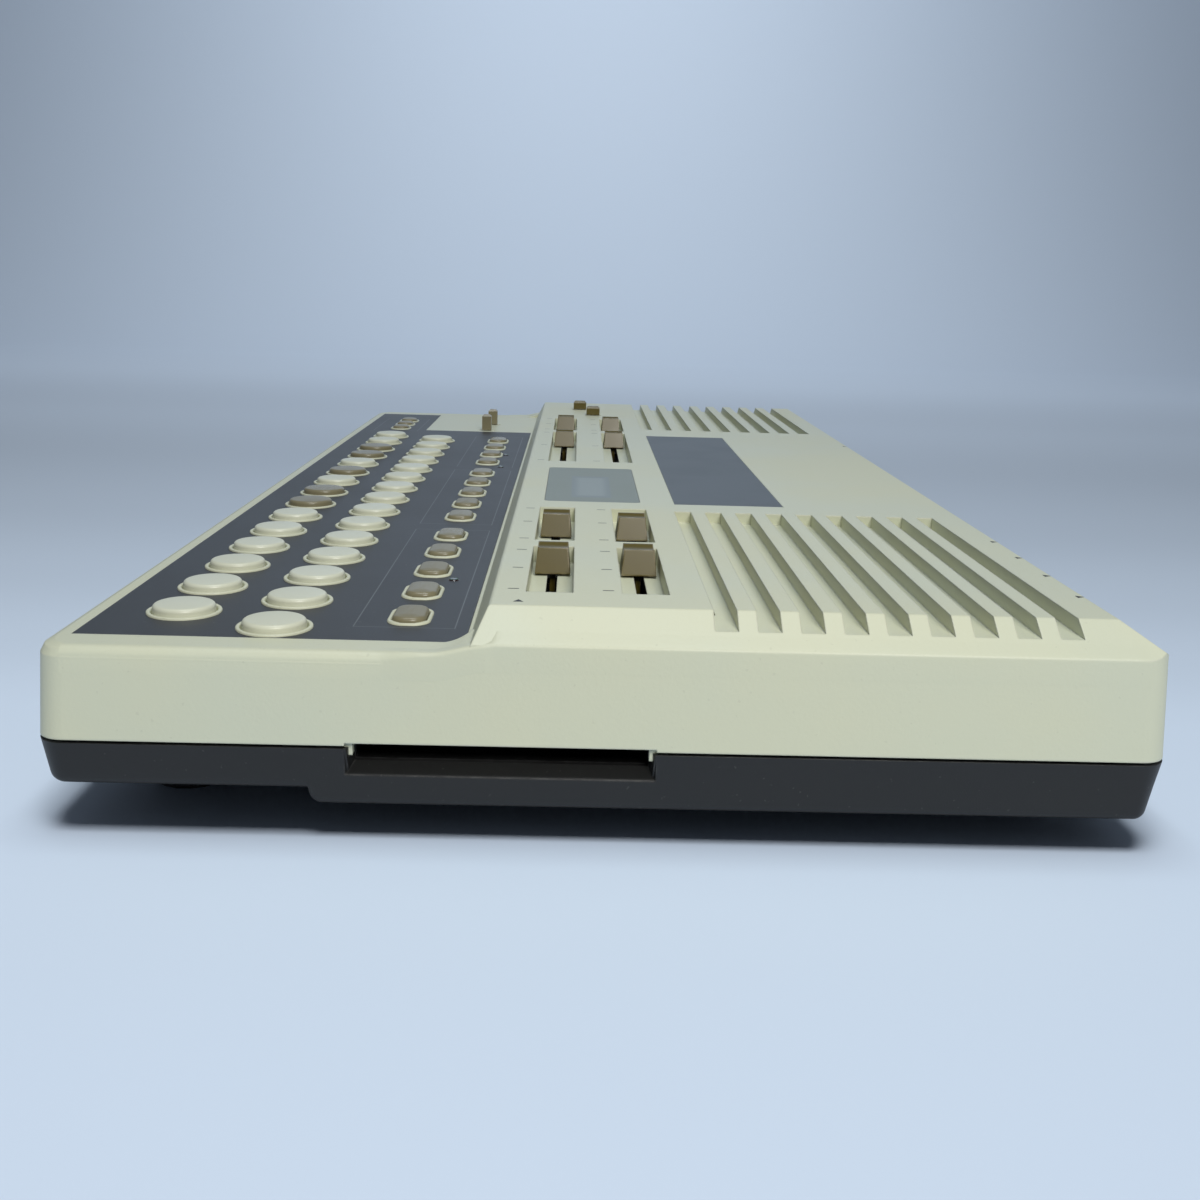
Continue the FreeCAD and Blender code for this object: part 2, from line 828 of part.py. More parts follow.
def socket_box():
    """Outer corners of the card socket."""
    x_high = half_length - 2 * wall - socket_gap
    half = slot_inner / 2 + socket_wall
    y = across(slot_place)
    z_low = slot_bottom - socket_floor
    z_high = slot_top + socket_floor
    return x_high - socket_depth, x_high, y - half, y + half, z_low, z_high


def socket_rails():
    x_low, x_high, y_low, y_high, z_low, z_high = socket_box()
    rails = []
    for share in rail_shares:
        x = x_low + (x_high - x_low) * share
        rails.append(box(x - wall / 2, x + wall / 2, y_low, y_high, deep_floor + wall / 2, z_low))
    return rails


def make_card_socket():
    x_low, x_high, y_low, y_high, z_low, z_high = socket_box()
    body = box(x_low, x_high, y_low, y_high, z_low, z_high)
    x_out = x_high + break_out
    pocket = box(x_low + contact_bar, x_out, y_low + socket_wall, y_high - socket_wall, slot_bottom, slot_top)
    window = box(
        x_low + 2 * contact_bar,
        x_high - 2 * contact_bar,
        y_low + 3 * socket_wall,
        y_high - 3 * socket_wall,
        slot_top - break_out,
        z_high + break_out,
    )
    return body.cut(pocket).cut(window)


def make_key_panel():
    sheet = panel_block(low_top - panel_thickness, low_top, 0)
    z_low = low_top - 2 * panel_thickness
    z_high = low_top + break_out
    holes = round_tools(collar_radius + sheet_gap, z_low, z_high)
    holes += button_tools(-sheet_gap, z_low, z_high)
    holes += lamp_tools(lamp_radius + guide_gap, z_low, z_high)
    return sheet.cut(Part.makeCompound(holes))


def make_key():
    """One round key about the Z axis: cap with an eased rim, on its flange."""
    top = low_top + key_rise
    flange = many_sided(0, 0, key_bottom, flange_top, flange_radius, key_sides)
    cap = many_sided(0, 0, flange_top - key_round, top, key_radius, key_sides, key_round)
    return flange.fuse(cap).removeSplitter()


def make_button_strip(places, length):
    """Small caps standing on one thin flexible strip."""
    top = low_top + button_rise
    cap_x = length - 2 * (collar_wall + guide_gap)
    cap_y = button_width - 2 * (collar_wall + guide_gap)
    xs = [x for x, y in places]
    y = places[0][1]
    margin = length / 2 + strip_margin
    half = button_width / 2 - collar_wall + guide_gap
    strip = box(min(xs) - margin, max(xs) + margin, y - half, y + half, key_bottom, flange_top)
    caps = []
    for x in xs:
        cap = oblong(x, y, cap_x, cap_y, flange_top - skim, top)
        caps.append(cap.makeChamfer(button_ease, [e for e in cap.Edges if is_level(e, top)]))
    return strip.multiFuse(caps).removeSplitter()


def make_contact_mat():
    """Rubber sheets on the board, with the domes drawn at their pressed height."""
    sheet_top = board_top + mat_thickness
    dome_top = sheet_top + dome_height
    pieces = []
    rows = key_centres(0) + key_centres(1)
    xs = [x for x, y in rows]
    ys = [y for x, y in rows]
    margin = dome_radius + dome_margin
    sheet = box(min(xs) - margin, max(xs) + margin, min(ys) - margin, max(ys) + margin, board_top, sheet_top)
    low = sheet_top - skim
    domes = [many_sided(x, y, low, dome_top, dome_radius, dome_sides) for x, y in rows]
    pieces.append(sheet.multiFuse(domes))
    small = button_groups() + [mode_centres()]
    for group in small:
        xs = [x for x, y in group]
        y = group[0][1]
        margin = button_width / 2 - guide_gap
        strip = box(min(xs) - margin, max(xs) + margin, y - margin, y + margin, board_top, sheet_top)
        pads = []
        half_x = pad_length / 2
        half_y = pad_width / 2
        top = dome_top + key_travel - button_travel
        for x in xs:
            pads.append(box(x - half_x, x + half_x, y - half_y, y + half_y, low, top))
        pieces.append(strip.multiFuse(pads))
    return Part.makeCompound(pieces)


def make_main_board():
    x_low = board_far_gap - half_length
    y_low = across(board_user_gap)
    board = box(x_low, along(board_near_gap), y_low, y_low + board_width, board_bottom, board_top)
    reach = screw_shank + screw_gap
    low = board_bottom - break_out
    high = board_top + break_out
    holes = [many_sided(x, y, low, high, reach, boss_sides) for x, y, ceiling in board_posts()]
    board = board.cut(Part.makeCompound(holes))
    adds = lamp_tools(lamp_radius, board_top - skim, low_top + lamp_rise)
    low = board_bottom - chip_depth
    for d, p, length, width in chips:
        adds.append(box(along(d) - length, along(d), across(p), across(p) + width, low, board_bottom + skim))
    return board.multiFuse(adds)


def slider_home(index):
    """Rest centre of a slider cap, in the order of the wells."""
    row, column = divmod(index, len(slider_columns))
    return along(slider_rests[column][row]), across(slider_columns[column])


def make_slider(index):
    """Tapered cap with a dished top, on the flat blade that runs in the control."""
    x, y = slider_home(index)
    base = deck_top - well_depth + cap_lift
    top = base + cap_height
    wires = []
    for length, width, z in ((cap_length, cap_width, base), (cap_top_length, cap_top_width, top)):
        half_x = length / 2
        half_y = width / 2
        corners = [(-half_x, -half_y), (half_x, -half_y), (half_x, half_y), (-half_x, half_y)]
        wires.append(Part.makePolygon([FreeCAD.Vector(x + a, y + b, z) for a, b in corners + corners[:1]]))
    cap = skin(*wires)
    half = (cap_top_length - cap_rim) / 2
    dish_radius = (half ** 2 + cap_dish ** 2) / (2 * cap_dish)
    dish = Part.makeCylinder(dish_radius, 2 * cap_width)
    dish.rotate(FreeCAD.Vector(0, 0, 0), FreeCAD.Vector(1, 0, 0), 90)
    dish.translate(FreeCAD.Vector(x, y + cap_width, top + dish_radius - cap_dish))
    cap = cap.cut(dish)
    blade_low = board_top + control_height - control_slot_depth + blade_gap
    half = blade_length / 2
    blade = box(x - half, x + half, y - blade_width / 2, y + blade_width / 2, blade_low, base + overlap)
    return cap.fuse(blade).removeSplitter()


def slot_end():
    """Distance from a well's end to the end of its slot."""
    return well_end_gap + (cap_length - blade_length) / 2 - slot_end_gap


def lever_slot(x, y, z_low, z_high):
    """Room for a lever's neck over its whole travel."""
    half = lever_neck_length / 2 + guide_gap
    reach = (lever_travel + lever_neck_width) / 2 + guide_gap
    return box(x - half, x + half, y - reach, y + reach, z_low, z_high)


def make_slide_controls():
    """Bodies of the eight slide controls and the four lever switches."""
    pieces = []
    top = board_top + control_height
    for x_near, x_far, y in well_places():
        half = control_width / 2
        body = box(x_far - control_end / 2, x_near + control_end / 2, y - half, y + half, board_top, top)
        end = slot_end() - guide_gap
        half = control_slot / 2
        slot = box(x_far + end, x_near - end, y - half, y + half, top - control_slot_depth, top + break_out)
        pieces.append(body.cut(slot))
    for x, y, level, size in lever_places():
        half_x = switch_width / 2
        half_y = switch_length / 2
        low = board_top
        body = box(x - half_x, x + half_x, y - half_y, y + half_y, low, low + switch_height)
        pieces.append(body.cut(lever_slot(x, y, low + switch_floor, low + switch_height + break_out)))
    return Part.makeCompound(pieces)


def make_lever(x, y, level, size):
    """Small lever: a narrow neck through the case and a rounded finger piece."""
    length, width, rise = size
    half_x = lever_neck_length / 2
    half_y = lever_neck_width / 2
    low = board_top + switch_floor + guide_gap
    neck = box(x - half_x, x + half_x, y - half_y, y + half_y, low, level + overlap)
    half_x = length / 2
    half_y = width / 2
    head = box(x - half_x, x + half_x, y - half_y, y + half_y, level + guide_gap, level + rise)
    head = head.makeChamfer(lever_ease, [e for e in head.Edges if is_level(e, level + rise)])
    return neck.fuse(head).removeSplitter()


def make_window():
    x_high = along(window_start)
    y_low = across(window_place)
    return rounded_block(
        x_high - window_length,
        x_high,
        y_low,
        y_low + window_width,
        window_corner,
        deck_top - window_thickness,
        deck_top,
    )


def make_display_module():
    """Glass in its frame, held against the deck's underside."""
    x_high = along(glass_start) + module_margin
    x_low = x_high - glass_length - 2 * module_margin
    y_mid = across(window_place) + window_width / 2
    half = glass_width / 2 + module_margin
    body = box(x_low, x_high, y_mid - half, y_mid + half, deck_ceiling - module_thickness, deck_ceiling)
    glass = box(
        x_low + module_margin + guide_gap,
        x_high - module_margin - guide_gap,
        y_mid - glass_width / 2 + guide_gap,
        y_mid + glass_width / 2 - guide_gap,
        deck_ceiling - overlap,
        deck_top - window_thickness - sheet_gap,
    )
    return body.fuse(glass)


def make_label_plate():
    x_high = along(plate_start)
    y_low = across(plate_place)
    x_low = x_high - plate_length
    return box(x_low, x_high, y_low, y_low + plate_width, deck_top - plate_thickness, deck_top)


def round_frustum(z_low, radius_low, z_high, radius_high):
    """Upright frustum about the Z axis, with flat sides."""
    wires = []
    for z, radius in ((z_low, radius_low), (z_high, radius_high)):
        corners = []
        for i in range(speaker_sides):
            a = 2 * math.pi * i / speaker_sides
            corners.append(FreeCAD.Vector(radius * math.cos(a), radius * math.sin(a), z))
        wires.append(Part.makePolygon(corners + corners[:1]))
    return skin(*wires)


def make_speakers():
    """Two round speakers, each a basket with its magnet and cone, hung under a grille."""
    top = deck_top - groove_depth - groove_floor
    bottom = top - speaker_depth
    waist = bottom + magnet_height
    basket = round_frustum(waist, magnet_radius, top - speaker_rim, speaker_radius)
    solids = [
        round_frustum(bottom, magnet_radius, waist, magnet_radius),
        round_frustum(top - speaker_rim, speaker_radius, top, speaker_radius),
    ]
    speaker = basket.multiFuse(solids)
    speaker = speaker.cut(round_frustum(top - cone_depth, dust_cap_radius, top, cone_radius)).removeSplitter()
    pieces = []
    for side in (1, -1):
        copy = speaker.copy()
        copy.translate(FreeCAD.Vector(side * (half_length - speaker_distance), across(speaker_place), 0))
        pieces.append(copy)
    return Part.makeCompound(pieces)


def lying_block(x, y_low, y_high, radius):
    """Round block along Y at the sockets' height, with flat sides."""
    block = many_sided(0, 0, 0, y_high - y_low, radius, jack_sides)
    block.rotate(FreeCAD.Vector(0, 0, 0), FreeCAD.Vector(1, 0, 0), -90)
    block.translate(FreeCAD.Vector(x, y_low, seam + jack_rise))
    return block


def make_rear_jacks():
    """Socket bodies behind the rear wall, each with a round nose in its hole."""
    wall_inside = half_width - wall - upper_inset(seam + jack_rise + jack_body / 2) - jack_gap
    face = wall_inside + wall
    half = jack_body / 2
    z = seam + jack_rise
    pieces = []
    for d in jack_distances:
        x = along(d)
        body = box(x - half, x + half, wall_inside - jack_depth, wall_inside, z - half, z + half)
        nose = lying_block(x, wall_inside - skim, face, jack_collar)
        bore = lying_block(x, face - bore_depth, face + break_out, jack_bore)
        pieces.append(body.fuse(nose).cut(bore).removeSplitter())
    return Part.makeCompound(pieces)


def foot_places():
    x = half_length - foot_inset_x
    y = half_width - foot_inset_y
    return [(sx * x, sy * y) for sx in (1, -1) for sy in (-1, 1)]


def make_rubber_feet():
    feet = []
    for x, y in foot_places():
        foot = many_sided(x, y, 0, deep_floor, foot_radius, foot_sides)
        feet.append(foot.makeChamfer(foot_ease, [e for e in foot.Edges if is_level(e, 0)]))
    return Part.makeCompound(feet)


def screw(x, y, seat, tip):
    """Pan-head screw pointing up."""
    head = many_sided(x, y, seat - screw_head_height, seat, screw_head_radius, boss_sides)
    shank = many_sided(x, y, seat - screw_head_height / 2, tip, screw_shank, screw_sides)
    return head.fuse(shank)


def make_screws():
    """Screws of the case from below, and of the board into its posts."""
    screws = []
    for x, y, ceiling in boss_places():
        floor = deep_floor if y > across(step_place) else shallow_floor
        seat = floor + screw_head_sink
        screws.append(screw(x, y, seat, seam + screw_bite))
    for x, y, ceiling in board_posts():
        screws.append(screw(x, y, board_bottom, board_top + screw_bite / 2 - overlap))
    return Part.makeCompound(screws)


def build():
    os.makedirs("parts", exist_ok=True)
    save(make_top_case(), "top_case")
    save(make_bottom_case(), "bottom_case")
    save(make_key_panel(), "key_panel")
    save(make_window(), "display_window")
    save(make_display_module(), "display_module")
    save(make_label_plate(), "label_plate")
    save(make_main_board(), "main_board")
    save(make_contact_mat(), "contact_mat")
    save(make_slide_controls(), "slide_controls")
    save(make_speakers(), "speakers")
    save(make_card_socket(), "card_socket")
    save(make_rear_jacks(), "rear_jacks")
    save(make_rubber_feet(), "rubber_feet")
    save(make_screws(), "screws")
    key = make_key()
    for row, letter in enumerate("ab"):
        for number, (x, y) in enumerate(key_centres(row), 1):
            copy = key.copy()
            copy.translate(FreeCAD.Vector(x, y, 0))
            save(copy, "key_%s_%02d" % (letter, number))
    for number, group in enumerate(button_groups(), 1):
        save(make_button_strip(group, button_length), "select_buttons_%d" % number)
    save(make_button_strip(mode_centres(), mode_length), "mode_buttons")
    for index in range(len(tracks) * len(slider_columns)):
        save(make_slider(index), "slider_%d" % (index + 1))
    for number, (x, y, level, size) in enumerate(lever_places(), 1):
        save(make_lever(x, y, level, size), "lever_%d" % number)


build()
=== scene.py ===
import json
import math
import bpy
import bmesh
from mathutils import Matrix, Vector


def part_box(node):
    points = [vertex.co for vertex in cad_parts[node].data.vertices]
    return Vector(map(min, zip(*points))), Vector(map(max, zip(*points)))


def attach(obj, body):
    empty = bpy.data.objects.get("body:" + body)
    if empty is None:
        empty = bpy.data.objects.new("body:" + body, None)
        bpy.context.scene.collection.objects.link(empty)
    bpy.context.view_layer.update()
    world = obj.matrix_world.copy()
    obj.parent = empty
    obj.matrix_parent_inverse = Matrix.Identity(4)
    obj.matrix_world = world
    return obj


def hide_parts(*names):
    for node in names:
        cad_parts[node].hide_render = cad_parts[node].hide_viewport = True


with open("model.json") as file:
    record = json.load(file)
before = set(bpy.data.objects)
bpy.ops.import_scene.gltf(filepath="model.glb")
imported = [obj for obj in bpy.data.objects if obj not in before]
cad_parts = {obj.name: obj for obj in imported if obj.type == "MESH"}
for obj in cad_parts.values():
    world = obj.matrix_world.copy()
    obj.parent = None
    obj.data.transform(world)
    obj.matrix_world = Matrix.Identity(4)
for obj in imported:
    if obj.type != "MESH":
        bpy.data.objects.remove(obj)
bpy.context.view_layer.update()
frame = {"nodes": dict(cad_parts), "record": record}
nodes = frame["nodes"]
mm = 0.001


def socketOf(group, name, kind, default=None, out=False):
    s = group.interface.new_socket(name=name, in_out="OUTPUT" if out else "INPUT", socket_type=kind)
    if default is not None:
        s.default_value = default
    return s


def newGroup(name, inputs, outputs):
    g = bpy.data.node_groups.new(name, "ShaderNodeTree")
    for n, kind, value in inputs:
        socketOf(g, n, kind, value)
    for n, kind in outputs:
        socketOf(g, n, kind, out=True)
    return g, g.nodes.new("NodeGroupInput"), g.nodes.new("NodeGroupOutput")


def mathNode(tree, op, a, b=None, clamp=False):
    n = tree.nodes.new("ShaderNodeMath")
    n.operation = op
    n.use_clamp = clamp
    for i, v in enumerate((a, b)):
        if v is None:
            continue
        if isinstance(v, (int, float)):
            n.inputs[i].default_value = v
        else:
            tree.links.new(v, n.inputs[i])
    return n.outputs[0]


def rampNode(tree, value, low, high):
    n = tree.nodes.new("ShaderNodeMapRange")
    n.interpolation_type = "SMOOTHSTEP"
    n.inputs["From Min"].default_value = low
    n.inputs["From Max"].default_value = high
    tree.links.new(value, n.inputs["Value"])
    return n.outputs["Result"]


def mixColour(tree, factor, a, b):
    n = tree.nodes.new("ShaderNodeMix")
    n.data_type = "RGBA"
    tree.links.new(factor, n.inputs["Factor"])
    spots = [s for s in n.inputs if s.type == "RGBA"]
    for spot, v in zip(spots, (a, b)):
        if isinstance(v, tuple):
            spot.default_value = v
        else:
            tree.links.new(v, spot)
    return [s for s in n.outputs if s.type == "RGBA"][0]


# moulded plastic: spark-eroded grain for the bump, and a slow mottle for colour and gloss
def makeGrainGroup():
    g, gin, gout = newGroup("mouldedGrain", [
        ("Vector", "NodeSocketVector", None), ("Grain Size", "NodeSocketFloat", 0.35 * mm),
        ("Mottle Size", "NodeSocketFloat", 30 * mm)],
        [("Height", "NodeSocketFloat"), ("Mottle", "NodeSocketFloat"), ("Specks", "NodeSocketFloat")])
    scale = mathNode(g, "DIVIDE", 1.0, gin.outputs["Grain Size"])
    fine = g.nodes.new("ShaderNodeTexNoise")
    fine.inputs["Detail"].default_value = 2.0
    g.links.new(gin.outputs["Vector"], fine.inputs["Vector"])
    g.links.new(scale, fine.inputs["Scale"])
    cells = g.nodes.new("ShaderNodeTexVoronoi")
    g.links.new(gin.outputs["Vector"], cells.inputs["Vector"])
    g.links.new(mathNode(g, "MULTIPLY", scale, 0.6), cells.inputs["Scale"])
    height = mathNode(g, "ADD", fine.outputs["Fac"], mathNode(g, "MULTIPLY", cells.outputs["Distance"], 0.5))
    slow = g.nodes.new("ShaderNodeTexNoise")
    slow.inputs["Detail"].default_value = 3.0
    g.links.new(gin.outputs["Vector"], slow.inputs["Vector"])
    g.links.new(mathNode(g, "DIVIDE", 1.0, gin.outputs["Mottle Size"]), slow.inputs["Scale"])
    dots = g.nodes.new("ShaderNodeTexNoise")
    dots.inputs["Detail"].default_value = 1.0
    g.links.new(gin.outputs["Vector"], dots.inputs["Vector"])
    dots.inputs["Scale"].default_value = 900.0
    g.links.new(height, gout.inputs["Height"])
    g.links.new(rampNode(g, slow.outputs["Fac"], 0.35, 0.7), gout.inputs["Mottle"])
    g.links.new(rampNode(g, dots.outputs["Fac"], 0.72, 0.8), gout.inputs["Specks"])
    return g


# worn and yellowed edges: a mask that is high on sharp outer edges, broken up by noise
def makeWearGroup():
    g, gin, gout = newGroup("edgeWear", [
        ("Vector", "NodeSocketVector", None), ("Bend", "NodeSocketFloat", 0.0),
        ("Break Up", "NodeSocketFloat", 300.0)],
        [("Mask", "NodeSocketFloat")])
    noise = g.nodes.new("ShaderNodeTexNoise")
    noise.inputs["Detail"].default_value = 4.0
    g.links.new(gin.outputs["Vector"], noise.inputs["Vector"])
    g.links.new(gin.outputs["Break Up"], noise.inputs["Scale"])
    edge = rampNode(g, gin.outputs["Bend"], 0.01, 0.12)
    g.links.new(mathNode(g, "MULTIPLY", edge, rampNode(g, noise.outputs["Fac"], 0.35, 0.65)), gout.inputs["Mask"])
    return g


grainGroup = makeGrainGroup()
wearGroup = makeWearGroup()


def useGroup(tree, group):
    n = tree.nodes.new("ShaderNodeGroup")
    n.node_tree = group
    return n


def startMaterial(name, **values):
    mat = bpy.data.materials.new(name)
    mat.use_nodes = True
    tree = mat.node_tree
    shader = tree.nodes["Principled BSDF"]
    for key, v in values.items():
        shader.inputs[key.replace("_", " ")].default_value = v
    where = tree.nodes.new("ShaderNodeTexCoord").outputs["Object"]
    return mat, tree, shader, where


def bumpFrom(tree, shader, height, strength, distance, edgeRadius=0.0):
    bump = tree.nodes.new("ShaderNodeBump")
    bump.inputs["Strength"].default_value = strength
    bump.inputs["Distance"].default_value = distance
    tree.links.new(height, bump.inputs["Height"])
    if edgeRadius:
        soft = tree.nodes.new("ShaderNodeBevel")
        soft.samples = 6
        soft.inputs["Radius"].default_value = edgeRadius
        tree.links.new(soft.outputs["Normal"], bump.inputs["Normal"])
    tree.links.new(bump.outputs["Normal"], shader.inputs["Normal"])


def roughFrom(tree, shader, mask, low, high):
    n = tree.nodes.new("ShaderNodeMapRange")
    n.inputs["To Min"].default_value = low
    n.inputs["To Max"].default_value = high
    tree.links.new(mask, n.inputs["Value"])
    tree.links.new(n.outputs["Result"], shader.inputs["Roughness"])


def rgb(r, g, b):
    return (r, g, b, 1.0)


# how far the rounded normal leans away from the true one: 0 on flat faces, more on edges
def edgeBend(tree, width):
    soft = tree.nodes.new("ShaderNodeBevel")
    soft.samples = 4
    soft.inputs["Radius"].default_value = width
    geometry = tree.nodes.new("ShaderNodeNewGeometry")
    dot = tree.nodes.new("ShaderNodeVectorMath")
    dot.operation = "DOT_PRODUCT"
    tree.links.new(soft.outputs["Normal"], dot.inputs[0])
    tree.links.new(geometry.outputs["Normal"], dot.inputs[1])
    return mathNode(tree, "SUBTRACT", 1.0, dot.outputs["Value"])


# one plastic for all: grain, mottle, aged tone and worn edges from the values of its dictionary
def makePlastic(name, look):
    mat, tree, shader, where = startMaterial(name)
    grain = useGroup(tree, grainGroup)
    tree.links.new(where, grain.inputs["Vector"])
    grain.inputs["Grain Size"].default_value = look["grain"]
    grain.inputs["Mottle Size"].default_value = look.get("mottle", 30 * mm)
    wear = useGroup(tree, wearGroup)
    tree.links.new(where, wear.inputs["Vector"])
    tree.links.new(edgeBend(tree, look.get("wearWidth", 0.5 * mm)), wear.inputs["Bend"])
    colour = mixColour(tree, grain.outputs["Mottle"], look["colour"], look["aged"])
    colour = mixColour(tree, wear.outputs["Mask"], colour, look["worn"])
    colour = mixColour(tree, mathNode(tree, "MULTIPLY", grain.outputs["Specks"], look.get("specks", 0.15)),
                       colour, look.get("speckColour", rgb(0.09, 0.08, 0.06)))
    if "mask" in look:
        colour = look["mask"](tree, where, colour)
    tree.links.new(colour, shader.inputs["Base Color"])
    roughFrom(tree, shader, grain.outputs["Mottle"], *look["rough"])
    if "coat" in look:
        shader.inputs["Coat Weight"].default_value = look["coat"]
        shader.inputs["Coat Roughness"].default_value = 0.15
    bumpFrom(tree, shader, grain.outputs["Height"], look["strength"], look["depth"], look.get("edge", 0.0))
    return mat


def coordinateParts(tree, where):
    split = tree.nodes.new("ShaderNodeSeparateXYZ")
    tree.links.new(where, split.inputs[0])
    return split.outputs


# 1 inside a rectangle in X and Y, with a soft border
def rectangleMask(tree, where, x0, x1, y0, y1, soft):
    x, y, z = coordinateParts(tree, where)
    parts = []
    for value, low, high in ((x, x0, x1), (y, y0, y1)):
        parts.append(rampNode(tree, value, low - soft, low + soft))
        parts.append(mathNode(tree, "SUBTRACT", 1.0, rampNode(tree, value, high - soft, high + soft)))
    result = parts[0]
    for p in parts[1:]:
        result = mathNode(tree, "MULTIPLY", result, p)
    return result


creamTone = rgb(0.60, 0.62, 0.475)
creamAged = rgb(0.625, 0.63, 0.46)
caseEnd = 210.0

# painted shade: near-black colour for the slot walls of the slide controls, which lie in shadow
slotShadePaint = {"lines": (-11.5, 7.3), "half": 1.25, "low": 36.6, "high": 39.65, "reach": 198.0,
              "colour": rgb(0.006, 0.006, 0.006)}


# painted shade: the case walls inside the slots of the slide controls are coloured near-black, where they lie in shadow
def paintSlotShade(tree, where, colour):
    x, y, z = coordinateParts(tree, where)
    total = None
    for centre in slotShadePaint["lines"]:
        gap = mathNode(tree, "ABSOLUTE", mathNode(tree, "SUBTRACT", y, centre * mm))
        near = mathNode(tree, "LESS_THAN", gap, slotShadePaint["half"] * mm)
        total = near if total is None else mathNode(tree, "MAXIMUM", total, near)
    below = mathNode(tree, "LESS_THAN", z, slotShadePaint["high"] * mm)
    above = mathNode(tree, "GREATER_THAN", z, slotShadePaint["low"] * mm)
    middle = mathNode(tree, "LESS_THAN", mathNode(tree, "ABSOLUTE", x), slotShadePaint["reach"] * mm)
    inside = mathNode(tree, "MULTIPLY", above, middle)
    total = mathNode(tree, "MULTIPLY", total, mathNode(tree, "MULTIPLY", below, inside))
    return mixColour(tree, total, colour, slotShadePaint["colour"])


# the case colour carries the painted shade inside the slide slots
caseLook = {"colour": creamTone, "aged": creamAged, "worn": rgb(0.66, 0.66, 0.54), "grain": 0.62 * mm,
            "mottle": 60 * mm, "rough": (0.40, 0.46), "strength": 0.42, "depth": 0.07 * mm, "edge": 0.5 * mm,
            "specks": 0.08, "mask": paintSlotShade}
keyLook = {"colour": rgb(0.66, 0.67, 0.53), "aged": rgb(0.64, 0.645, 0.50), "worn": rgb(0.70, 0.70, 0.58),
           "grain": 0.25 * mm, "rough": (0.3, 0.38), "strength": 0.08, "depth": 0.03 * mm, "specks": 0.05}
brownLook = {"colour": rgb(0.215, 0.190, 0.112), "aged": rgb(0.21, 0.185, 0.108), "worn": rgb(0.34, 0.29, 0.22),
             "grain": 0.25 * mm, "rough": (0.27, 0.36), "strength": 0.08, "depth": 0.03 * mm, "specks": 0.05}
sliderLook = {"colour": rgb(0.100, 0.076, 0.010), "aged": rgb(0.096, 0.073, 0.010), "worn": rgb(0.33, 0.28, 0.19),
              "grain": 0.22 * mm, "mottle": 8 * mm, "rough": (0.30, 0.33), "strength": 0.08, "depth": 0.03 * mm,
              "edge": 0.45 * mm, "specks": 0.05}
lowerLook = {"colour": rgb(0.0095, 0.0096, 0.0095), "aged": rgb(0.0105, 0.0105, 0.0103),
             "worn": rgb(0.075, 0.075, 0.07), "grain": 0.28 * mm, "mottle": 50 * mm,
             "rough": (0.46, 0.5), "strength": 0.3, "depth": 0.05 * mm,
             "edge": 0.8 * mm, "specks": 0.2, "speckColour": rgb(0.12, 0.12, 0.11)}
plateLook = {"colour": rgb(0.080, 0.094, 0.104), "aged": rgb(0.083, 0.097, 0.107), "worn": rgb(0.2, 0.22, 0.22),
             "grain": 0.12 * mm, "mottle": 25 * mm, "rough": (0.44, 0.47), "strength": 0.08, "depth": 0.02 * mm,
             "specks": 0.1, "speckColour": rgb(0.3, 0.3, 0.3)}
blackLook = {"colour": rgb(0.012, 0.012, 0.012), "aged": rgb(0.016, 0.016, 0.016), "worn": rgb(0.05, 0.05, 0.05),
             "grain": 0.2 * mm, "rough": (0.4, 0.55), "strength": 0.15, "depth": 0.03 * mm, "specks": 0.1,
             "speckColour": rgb(0.08, 0.08, 0.08)}
footLook = {"colour": rgb(0.018, 0.018, 0.018), "aged": rgb(0.03, 0.03, 0.029), "worn": rgb(0.07, 0.07, 0.065),
            "grain": 0.5 * mm, "rough": (0.75, 0.9), "strength": 0.4, "depth": 0.08 * mm, "specks": 0.6,
            "speckColour": rgb(0.14, 0.14, 0.13)}
matLook = {"colour": rgb(0.10, 0.105, 0.11), "aged": rgb(0.12, 0.12, 0.12), "worn": rgb(0.2, 0.2, 0.2),
           "grain": 0.4 * mm, "rough": (0.6, 0.75), "strength": 0.2, "depth": 0.05 * mm, "specks": 0.2}


# panel sheet: pale printed frames round each group of small buttons
panelFrames = {"near": (90.5, 191.0, -49.5, -29.6), "middle": (-20.5, 82.5, -49.5, -29.6),
               "far": (-118.0, -27.5, -49.5, -29.6), "mode": (-179.0, -131.5, -95.0, -76.0)}


def framePrint(tree, where, colour):
    line, soft = 0.22, 0.05 * mm
    total = None
    for x0, x1, y0, y1 in panelFrames.values():
        outer = rectangleMask(tree, where, x0 * mm, x1 * mm, y0 * mm, y1 * mm, soft)
        inner = rectangleMask(tree, where, (x0 + line) * mm, (x1 - line) * mm, (y0 + line) * mm, (y1 - line) * mm,
                              soft)
        ring = mathNode(tree, "SUBTRACT", outer, inner, clamp=True)
        total = ring if total is None else mathNode(tree, "MAXIMUM", total, ring)
    return mixColour(tree, mathNode(tree, "MULTIPLY", total, 0.5), colour, rgb(0.22, 0.24, 0.25))


panelLook = {"colour": rgb(0.036, 0.039, 0.042), "aged": rgb(0.038, 0.041, 0.044), "worn": rgb(0.11, 0.12, 0.13),
             "grain": 0.10 * mm, "mottle": 40 * mm, "rough": (0.45, 0.48), "strength": 0.10, "depth": 0.02 * mm,
             "specks": 0.12, "speckColour": rgb(0.3, 0.3, 0.3), "mask": framePrint}


# window: the liquid crystal area shows as a paler field, palest in its middle; values in mm
displayArea = {"field": (38, 77, -8.0, 3.2, 0.2), "fieldColour": rgb(0.20, 0.235, 0.235),
               "glow": (41, 74, -6.4, 1.6, 1.2), "glowColour": rgb(0.27, 0.31, 0.30), "glowShare": 0.8}


def displayPrint(tree, where, colour):
    field = rectangleMask(tree, where, *(v * mm for v in displayArea["field"]))
    glow = rectangleMask(tree, where, *(v * mm for v in displayArea["glow"]))
    colour = mixColour(tree, field, colour, displayArea["fieldColour"])
    share = mathNode(tree, "MULTIPLY", glow, displayArea["glowShare"])
    return mixColour(tree, share, colour, displayArea["glowColour"])


